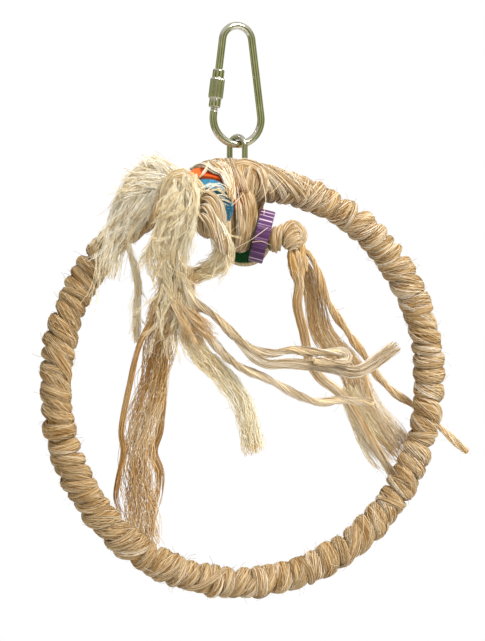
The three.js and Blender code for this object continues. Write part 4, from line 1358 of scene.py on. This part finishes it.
RIGHT_KNOT_STRANDS = [
    [
        (13.6, -24, -27.5), (14.6, -24, -23.3), (16.7, -22.5, -20.9), (19.5, -20.5, -19.4),
        (22.3, -20, -19.8), (24.3, -20, -21.7), (24.6, -20.5, -25), (23.7, -21.5, -28.8),
    ],
    [(13.7, -25, -30.4), (15.3, -26, -26.1), (19.4, -24.5, -23), (24.4, -21, -23.1)],
    [(14.7, -25, -31.8), (16.6, -26.5, -29), (20.3, -25.5, -26.3), (25, -21.5, -26.7)],
    [(16.9, -24.5, -32.4), (18.8, -26, -30.6), (22, -24.5, -29.3), (25.7, -21, -29.7)],
    [(11.3, -21.5, -20.9), (8.6, -25, -25.7), (8.7, -25.5, -30.4), (11.4, -22.5, -33.6)],
    [(14.7, -21, -19.7), (11.1, -25, -23.8), (10.5, -26, -29), (12.7, -23.5, -32.7)],
]
# Strands that run down from the right knot into its tails
TAIL_ROOT_STRANDS = [
    [(23.7, -21.5, -25.5), (24.5, -22, -30.7), (25.2, -21.5, -35.9), (28.1, -19.5, -42.5)],
    [(20.4, -23.5, -29.8), (21.8, -22.5, -35), (24.3, -20, -40.6), (26.9, -17.5, -47.2)],
    [(17.6, -24, -30.8), (18.7, -22.5, -35.9), (21.1, -20.5, -41.6), (22.9, -18.5, -48.2)],
]
# Strands in the shade between the left and front knots
SHADED_STRANDS = [
    [(-11.5, -13, -15.2), (-9.7, -15, -20.9), (-6.2, -15, -27.5), (-1.4, -13, -30.7)],
    [(-9, -13, -13.8), (-8.1, -16, -19.1), (-5.9, -17, -25.6), (-2.7, -15, -30.3)],
    [(-10.6, -12, -19), (-8, -13, -26.5), (-4.4, -13, -30.3)],
]
# Single hairs that cross the purple slice and hang from the hitch
STRAY_HAIRS = [
    [(-9.3, -22, -31.4), (-3.9, -27.5, -27.7), (5.3, -27, -21.6)],
    [(-2.3, -26, -29.1), (2.1, -27.5, -28.8), (9.9, -25, -31.6)],
    [(6.6, -15, 1.0), (7.2, -18.5, -8.0), (4.4, -23, -16)],
    [(10.5, -13, 4.5), (9.4, -17, -5.0), (13.5, -14, -4.0), (19.5, -12, 1.5)],
    [(-13.5, -36, -3.5), (-12.4, -35, -8.5), (-9.5, -31.5, -16.5)],
    [(-17, -38, -12.5), (-13, -36, -9.5), (-8.5, -31, -6.5)],
]
# How far a single hair may wander off its line
HAIR_ROOM = 0.5
BALL_STEPS = 28
BALL_HALF_WIDTH = 3.0
FRONT_HALF_THICK = 1.9
STOPPER_HALF_THICK = 1.8
# The rope's neck through a slice, and the turn tucked round it
NECK_STEPS = 24
NECK_TOP = 4.0
NECK_HALF_SIZE = 2.9
RIGHT_NECK = 7.4
TUCK_STEPS = 48
TUCK_TURNS = 1.5
TUCK_PLACE = 2.6
TUCK_RADIUS = 4.2
TUCK_CLIMB = (-0.8, 1.4)
TUCK_HALF_SIZES = (2.6, 1.8)


def wound_ball(centre, axes, half_size, turns, tilt, swing):
    """A run wound over the poles of an oval ball, its third axis; each turn's plane swings on a little."""
    share = np.linspace(0, 1, int(turns * BALL_STEPS))[:, None]
    round_angle = FULL_TURN * turns * share
    plane = math.radians(tilt) + math.radians(swing) * share
    parts = [np.sin(round_angle) * np.cos(plane), np.sin(round_angle) * np.sin(plane), np.cos(round_angle)]
    out = sum(part * axis for part, axis in zip(parts, axes))
    return centre + sum(part * size * axis for part, size, axis in zip(parts, half_size, axes)), out


def neck_and_tuck(foot, direction, neck):
    """The rope's neck through a slice and the turn tucked round it, under a knot's ball."""
    across, _, over = upright_axes(direction)
    turn = np.linspace(0, FULL_TURN * TUCK_TURNS, TUCK_STEPS)[:, None]
    around = np.cos(turn) * across + np.sin(turn) * over
    climb = direction * np.linspace(*TUCK_CLIMB, TUCK_STEPS)[:, None]
    tuck = foot + TUCK_PLACE * direction + around * TUCK_RADIUS + climb
    line = foot + np.linspace(-neck, NECK_TOP, NECK_STEPS)[:, None] * direction
    facing = np.tile(across, (NECK_STEPS, 1))
    return [(tuck, around, *TUCK_HALF_SIZES), (line, facing, NECK_HALF_SIZE, NECK_HALF_SIZE)]


def knot(node, runs, seed):
    """A knot of flattened strands: each run is its points, outward directions and half sizes."""
    runs = [run_of(points, facing_frame(points, out), width, thick) for points, out, width, thick in runs]
    settle(strand(node + "_strands", runs, Seed=seed, **KNOT_STRAND), node)


def lay_strands(node, where, guides, half_width, centre, seed, **settings):
    """Strands through given guides over a knot, flat towards a centre."""
    runs = []
    for guide in guides:
        points = smooth_run(guide, STRAND_SPACING) + SEAT
        half = tapered(points, half_width)
        across = facing_frame(points, points - centre)
        runs.append(run_of(points, across, half, LAID_FLATNESS * half, NEXT_STRAND * len(runs)))
    strands = strand(f"{node}_strands_{where}", runs, Seed=seed, **{**LAID_STRAND, **settings})
    settle(strands, node)


def tie_front_knot():
    middle = FRONT_KNOT + (0.6, -0.5, 4.0)
    axes = upright_axes((0.35, 0.937, 0))
    ball, out = wound_ball(middle, axes, half_size=(4.2, 4.8, 12.5), turns=4, tilt=30, swing=140)
    knot("front_knot", [(ball, out, BALL_HALF_WIDTH, FRONT_HALF_THICK)], seed=41)
    lay_strands("front_knot", "over", FRONT_KNOT_STRANDS, half_width=1.9, centre=middle, seed=44)
    behind = middle + (0, 12, 0)
    lay_strands("front_knot", "beside", SHADED_STRANDS, half_width=2.3, centre=behind, seed=45, **GOLD)


def tie_left_knot():
    middle = LEFT_KNOT + 9.5 * LEFT_END + (0.5, -1.5, 2.5)
    axes = upright_axes(LEFT_END)
    ball, out = wound_ball(middle, axes, half_size=(5.2, 4.4, 9.5), turns=5, tilt=20, swing=150)
    lay_strands("left_knot", "over", LEFT_KNOT_STRANDS, half_width=1.9, centre=middle, seed=46)
    under = neck_and_tuck(LEFT_KNOT, LEFT_END, neck=0.0)
    knot("left_knot", [(ball, out, BALL_HALF_WIDTH, STOPPER_HALF_THICK), *under], seed=42)


def tie_right_knot():
    middle = RIGHT_KNOT + 12 * RIGHT_END + (-0.6, 0, 4.0)
    axes = upright_axes(unit(np.array([0.45, -0.55, 0.7])))
    ball, out = wound_ball(middle, axes, half_size=(4.6, 5.2, 5.2), turns=5, tilt=15, swing=150)
    lay_strands("right_knot", "over", RIGHT_KNOT_STRANDS, half_width=2.1, centre=middle, seed=48)
    lay_strands("right_knot", "below", TAIL_ROOT_STRANDS, half_width=1.9, centre=middle, seed=49, **GOLD)
    under = neck_and_tuck(RIGHT_KNOT, RIGHT_END, neck=RIGHT_NECK)
    knot("right_knot", [(ball, out, BALL_HALF_WIDTH, STOPPER_HALF_THICK), *under], seed=43)


def lay_stray_hairs():
    runs = [flat_run(guide, STRAND_SPACING, HAIR_ROOM, HAIR_ROOM) for guide in STRAY_HAIRS]
    finish = {"Fibre Radius": 0.13 * MM, **PALE}
    hairs = strand("front_knot_stray_hairs", runs, Fibres=1, Seed=47, **finish)
    settle(hairs, "front_knot")


tie_front_knot()
tie_left_knot()
tie_right_knot()
lay_stray_hairs()


# Turned and bent solids


def circle(sides):
    """Angles of a ring's points, once round."""
    return np.linspace(0, FULL_TURN, sides, endpoint=False)


def sheet_of_rings(name, rings, caps, attributes=None):
    """A mesh over closed rings of points in millimetres.

    With caps both ends are filled; without, the last ring meets the first.
    """
    count, sides = len(rings), len(rings[0])
    points = np.concatenate(rings) * MM
    faces = []
    for ring in range(count - 1 if caps else count):
        here, ahead = ring * sides, (ring + 1) % count * sides
        for side in range(sides):
            beside = (side + 1) % sides
            faces.append((here + side, here + beside, ahead + beside, ahead + side))
    if caps:
        faces.append(tuple(range(sides - 1, -1, -1)))
        faces.append(tuple(range((count - 1) * sides, count * sides)))
    mesh = bpy.data.meshes.new(name)
    mesh.from_pydata(points.tolist(), [], faces)
    set_attributes(mesh, attributes or {})
    mesh.polygons.foreach_set("use_smooth", [len(p.vertices) == 4 for p in mesh.polygons])
    mesh.update()
    return new_piece(name, mesh)


def outward(piece):
    """Turns a closed mesh's faces to point outwards."""
    shape = bmesh.new()
    shape.from_mesh(piece.data)
    bmesh.ops.recalc_face_normals(shape, faces=shape.faces)
    shape.to_mesh(piece.data)
    shape.free()


def finish_piece(piece, body, node, material):
    outward(piece)
    piece.data.materials.append(material)
    settle(piece, node, body)


# Quick link: bent rod with a thread cut on both studs of its gate
ROD_RADIUS = 1.8
ROD_SIDES = 24
TOP_BEND = 7.5
TOP_BEND_STEPS = 40
BOTTOM_BEND = 12.2
BOTTOM_BEND_STEPS = 60
TOP_BEND_Z = ROD_RADIUS - TOP_BEND
BOTTOM_BEND_Z = BAR_Z + BOTTOM_BEND
LEG_LEAN = math.asin((BOTTOM_BEND - TOP_BEND) / (TOP_BEND_Z - BOTTOM_BEND_Z))
LEG_UP = np.array([math.sin(LEG_LEAN), 0, math.cos(LEG_LEAN)])
LEG_FOOT = np.array([-BOTTOM_BEND * math.cos(LEG_LEAN), 0, BOTTOM_BEND_Z + BOTTOM_BEND * math.sin(LEG_LEAN)])
LEG_STEPS = 12
BEND_CLEAR = 0.5
LOWER_STUD_TOP = 8.0
UPPER_STUD_END = 14.5
THREAD_PITCH = 0.9
THREAD_STEP = THREAD_PITCH / 6
THREAD_DEPTH = 0.28
LOWER_THREAD = 6.5
UPPER_THREAD = 7.0
STUD_CHAMFER = 0.35
CHAMFER_LENGTH = 0.5


def rod_bend(centre_z, radius, first, last, count):
    angles = np.linspace(first, last, count)
    return [np.array([radius * math.cos(a), 0, centre_z + radius * math.sin(a)]) for a in angles]


def rod_line():
    """Points along the rod's middle, from the lower stud round both bends to the upper stud."""
    lower_stud = np.arange(LOWER_STUD_TOP, 0, -THREAD_STEP)
    bottom = rod_bend(BOTTOM_BEND_Z, BOTTOM_BEND, math.pi - LEG_LEAN, FULL_TURN + LEG_LEAN, BOTTOM_BEND_STEPS)
    top = rod_bend(TOP_BEND_Z, TOP_BEND, LEG_LEAN, math.pi - LEG_LEAN, TOP_BEND_STEPS)
    leg_top = np.linalg.norm(top[-1] - LEG_FOOT)
    thread_end = UPPER_STUD_END + UPPER_THREAD
    leg = np.linspace(leg_top - BEND_CLEAR, thread_end, LEG_STEPS)[:-1]
    upper_stud = np.arange(thread_end, UPPER_STUD_END, -THREAD_STEP)
    down = [LEG_FOOT + LEG_UP * height for height in lower_stud]
    up = [LEG_FOOT + LEG_UP * height for height in (*leg, *upper_stud)]
    return np.array([*down, *bottom, *top, *up])


def make_quick_link():
    middle = rod_line()
    reach = lengths_along(middle)
    level = np.array([0, 1, 0])
    normal = np.cross(unit(np.gradient(middle, axis=0)), level)
    turn = circle(ROD_SIDES)
    rings = []
    for point, side, run in zip(middle, normal, reach):
        from_end = reach[-1] - run
        threaded = run < LOWER_THREAD or from_end < UPPER_THREAD
        groove = threaded * THREAD_DEPTH * (0.5 + 0.5 * np.cos(FULL_TURN * run / THREAD_PITCH - turn))
        chamfer = STUD_CHAMFER * max(0.0, 1 - min(run, from_end) / CHAMFER_LENGTH)
        radius = (ROD_RADIUS - groove - chamfer)[:, None]
        rings.append(point + radius * (np.cos(turn)[:, None] * side + np.sin(turn)[:, None] * level))
    link = sheet_of_rings("quick_link_rod", rings, caps=True)
    finish_piece(link, "link", "quick_link", nickel)


# Sleeve nut: fluted barrel between plain collars, hollow for the rod
NUT_FOOT = 3.5
# Height up the leg, distance from it and share of the flutes' depth
NUT_OUTLINE = [
    (0.0, 2.35, 0), (0.35, 2.75, 0), (0.6, 2.8, 0), (3.9, 2.8, 0),
    (4.15, 2.7, 0), (4.3, 3.1, 0.4), (4.7, 3.42, 1),
    (5.2, 3.5, 1), (7.0, 3.5, 1), (9.0, 3.5, 1), (11.0, 3.5, 1),
    (13.0, 3.5, 1), (13.6, 3.42, 1), (14.0, 3.1, 0.4),
    (14.15, 2.7, 0), (14.4, 2.8, 0), (17.7, 2.8, 0), (17.95, 2.75, 0), (18.3, 2.35, 0),
]
NUT_BORE = 2.12
NUT_FLUTES = 22
NUT_FLUTE_DEPTH = 0.3
NUT_SIDES = NUT_FLUTES * 6


def make_nut():
    turn = circle(NUT_SIDES)
    aside = np.array([math.cos(LEG_LEAN), 0, -math.sin(LEG_LEAN)])
    around = np.cos(turn)[:, None] * aside + np.sin(turn)[:, None] * np.array([0.0, 1, 0])
    flute = NUT_FLUTE_DEPTH * (0.5 - 0.5 * np.cos(NUT_FLUTES * turn)) ** 1.5
    rings = []
    for height, radius, fluted in NUT_OUTLINE:
        rings.append(LEG_FOOT + LEG_UP * (NUT_FOOT + height) + around * (radius - fluted * flute)[:, None])
    for height in (NUT_OUTLINE[-1][0], NUT_OUTLINE[0][0]):
        rings.append(LEG_FOOT + LEG_UP * (NUT_FOOT + height) + around * NUT_BORE)
    nut = sheet_of_rings("quick_link_sleeve", rings, caps=False)
    finish_piece(nut, "nut", "quick_link_nut", nickel)


# Chain link: an oval of round wire, turned a little from square
CHAIN_RADIUS = 1.4
CHAIN_SIDES = 20
CHAIN_BEND = 5.0
CHAIN_BEND_STEPS = 28
CHAIN_INSIDE_LENGTH = 23.2
CHAIN_HALF_STRAIGHT = CHAIN_INSIDE_LENGTH / 2 + CHAIN_RADIUS - CHAIN_BEND
CHAIN_MIDDLE = -64.35
CHAIN_TURN = math.radians(26)


def make_chain_link():
    across = np.array([math.sin(CHAIN_TURN), -math.cos(CHAIN_TURN), 0])
    facing = np.array([math.cos(CHAIN_TURN), math.sin(CHAIN_TURN), 0])
    turn = circle(CHAIN_SIDES)[:, None]
    rings = []
    for end in (1, -1):
        for angle in np.linspace(0, math.pi, CHAIN_BEND_STEPS):
            out = across * end * math.cos(angle) + UP * end * math.sin(angle)
            middle = UP * (CHAIN_MIDDLE + end * CHAIN_HALF_STRAIGHT) + CHAIN_BEND * out
            rings.append(middle + CHAIN_RADIUS * (np.cos(turn) * out + np.sin(turn) * facing))
    link = sheet_of_rings("chain_link_wire", rings, caps=False)
    finish_piece(link, "ring", "chain_link", wire_steel)


# Wood slices: sawn from a dowel, edges eased, bored for the rope
SLICE_SIDES = 96
SLICE_WOBBLE = 0.06
WOBBLE_WAVES = (2, 3, 5)
WOBBLE_PHASES = (0, 6)
# Half of a slice's outline, bore to rim: distance from the axis, place along it, and how far it is rim
SLICE_HALF_OUTLINE = [
    (SLICE_BORE, SLICE_HALF - 0.2, 0),
    (SLICE_BORE + 0.3, SLICE_HALF, 0),
    (8.0, SLICE_HALF, 0),
    (SLICE_RADIUS - 0.8, SLICE_HALF, 0),
    (SLICE_RADIUS - 0.3, SLICE_HALF - 0.08, 0.5),
    (SLICE_RADIUS - 0.05, SLICE_HALF - 0.35, 1),
    (SLICE_RADIUS, SLICE_HALF - 0.9, 1),
]
SLICE_OUTLINE = [
    *[(radius, -height, edge) for radius, height, edge in SLICE_HALF_OUTLINE],
    (SLICE_RADIUS, 0.0, 1),
    *SLICE_HALF_OUTLINE[::-1],
]


def rim_wobble(turn, seed):
    """A slice's small departures from round."""
    chance = random.Random(seed)
    waves = []
    for count in WOBBLE_WAVES:
        size = SLICE_WOBBLE * math.cos(chance.uniform(*WOBBLE_PHASES))
        waves.append(size * np.cos(count * turn + chance.uniform(*WOBBLE_PHASES)))
    return sum(waves)


def make_slice(node, body, centre, direction, material, seed):
    aside = unit(np.cross(direction, UP))
    over = np.cross(direction, aside)
    turn = circle(SLICE_SIDES)
    wobble = rim_wobble(turn, seed)
    rings, local, rim = [], [], []
    for radius, height, edge in SLICE_OUTLINE:
        reach = radius + edge * wobble
        flat = np.stack([np.cos(turn) * reach, np.sin(turn) * reach, np.full(SLICE_SIDES, height)], axis=1)
        local.append(flat * MM)
        rim.append(np.full(SLICE_SIDES, float(edge)))
        rings.append(centre + flat[:, :1] * aside + flat[:, 1:2] * over + flat[:, 2:] * direction)
    attributes = {"local": np.concatenate(local), "rim": np.concatenate(rim)}
    piece = sheet_of_rings(node + "_wood", rings, caps=False, attributes=attributes)
    finish_piece(piece, body, node, material)


make_quick_link()
make_nut()
make_chain_link()
make_slice("orange_slice", "orange", ORANGE, LEFT_END, orange_wood, seed=1)
make_slice("blue_slice", "blue", BLUE, LEFT_END, blue_wood, seed=2)
make_slice("purple_slice", "purple", PURPLE, RIGHT_END, purple_wood, seed=3)
make_slice("green_slice", "green", GREEN, GREEN_END, green_wood, seed=4)
hoop_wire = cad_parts["hoop_wire"].data
hoop_wire.materials.clear()
hoop_wire.materials.append(wire_steel)


# Stage: pale floor, white surroundings and soft lamps, in metres

FLOOR_REACH = 1.5
FLOOR_LEVEL = -0.85
FLOOR_CORNERS = [(-1, -1), (1, -1), (1, 1), (-1, 1)]
PAPER_TOOTH = 2.5 * MM
PAPER_SHADES = [(0.3, "#F2F2F0"), (0.7, "#F7F7F5")]
WHITE = (1, 1, 1, 1)
AMBIENT = (0.79, 0.79, 0.79, 1)
# Polished metal mirrors a room: a dim olive band with darker and lighter stretches, and pale ends
BAND_COLOUR = (0.37, 0.395, 0.195)
BAND_STRETCHES = 5.0
BAND_SHADES = {"To Min": 0.4, "To Max": 1.7}
BAND_EDGE = {"From Min": 0.2, "From Max": 0.55}
ROOM_ENDS = [(0.2, "#8F877B"), (0.7, "#BDB9AF"), (0.85, "#F2F0EC")]
BOTH_WAYS = {"From Min": -1.0, "From Max": 1.0}
# Each lamp's place, size across, power, and whether polished metal mirrors it
LAMPS = {
    "key lamp": ((0.3, -0.8, 0.65), 0.4, 14.2, True),
    "fill lamp": ((0.9, -0.7, -0.1), 0.8, 3.5, False),
    "top lamp": ((0.1, 0.2, 0.8), 0.6, 4.0, False),
}


def lay_floor():
    mesh = bpy.data.meshes.new("floor")
    corners = [(x * FLOOR_REACH, y * FLOOR_REACH, FLOOR_LEVEL) for x, y in FLOOR_CORNERS]
    mesh.from_pydata(corners, [], [(0, 1, 2, 3)])
    floor = new_piece("floor", mesh)
    paper, tree, surface = new_material("white paper")
    place = add(tree, "TexCoord").outputs["Object"]
    tooth = add(tree, "TexNoise", Vector=place, Scale=1 / PAPER_TOOTH)
    tone = fill_ramp(add(tree, "ValToRGB", Fac=tooth), PAPER_SHADES)
    fill(tree, surface, {"Base Color": tone, "Roughness": 0.9})
    mesh.materials.append(paper)


def light_room():
    world = bpy.data.worlds.new("white surroundings")
    world.use_nodes = True
    bpy.context.scene.world = world
    tree = world.node_tree
    tree.nodes.clear()
    way = add(tree, "TexCoord").outputs["Generated"]
    way = add(tree, "SeparateXYZ", way).outputs
    turn = add(tree, "Math", way[1], way[0], operation="ARCTAN2")
    turn = add(tree, "Math", turn, BAND_STRETCHES, operation="MULTIPLY")
    wave = add(tree, "Math", turn, operation="SINE")
    shade = add(tree, "MapRange", Value=wave, **BOTH_WAYS, **BAND_SHADES)
    band = add(tree, "VectorMath", BAND_COLOUR, Scale=shade, operation="SCALE")
    height = add(tree, "MapRange", Value=way[2], **BOTH_WAYS)
    ends = fill_ramp(add(tree, "ValToRGB", Fac=height), ROOM_ENDS)
    steep = add(tree, "Math", way[2], operation="ABSOLUTE")
    steep = add(tree, "MapRange", Value=steep, **BAND_EDGE)
    room = add(tree, "Mix", {0: steep, MIX_FIRST: band, MIX_SECOND: ends}, data_type="RGBA").outputs[MIXED]

    # Mirrors see the room, the eye sees white, and everything else gets an even light
    seen_by = add(tree, "LightPath").outputs
    rays = seen_by["Is Camera Ray"], seen_by["Is Transmission Ray"]
    clear = add(tree, "Math", *rays, operation="MAXIMUM")
    light = {0: seen_by["Is Glossy Ray"], MIX_FIRST: AMBIENT, MIX_SECOND: room}
    light = add(tree, "Mix", light, data_type="RGBA").outputs[MIXED]
    light = {0: clear, MIX_FIRST: light, MIX_SECOND: WHITE}
    light = add(tree, "Mix", light, data_type="RGBA").outputs[MIXED]
    light = add(tree, "Background", Color=light, Strength=1.0)
    add(tree, "OutputWorld", Surface=light)


def hang_lamps():
    for name, (place, size, power, mirrored) in LAMPS.items():
        lamp = bpy.data.lights.new(name, "AREA")
        lamp.energy = power
        lamp.size = size
        holder = new_piece(name, lamp)
        holder.location = place
        holder.visible_glossy = mirrored
        aim = Vector(CAMERA_TARGET - np.array(place))
        holder.rotation_euler = aim.to_track_quat("-Z", "Y").to_euler()


lay_floor()
light_room()
hang_lamps()
bpy.context.scene.view_settings.view_transform = "Standard"
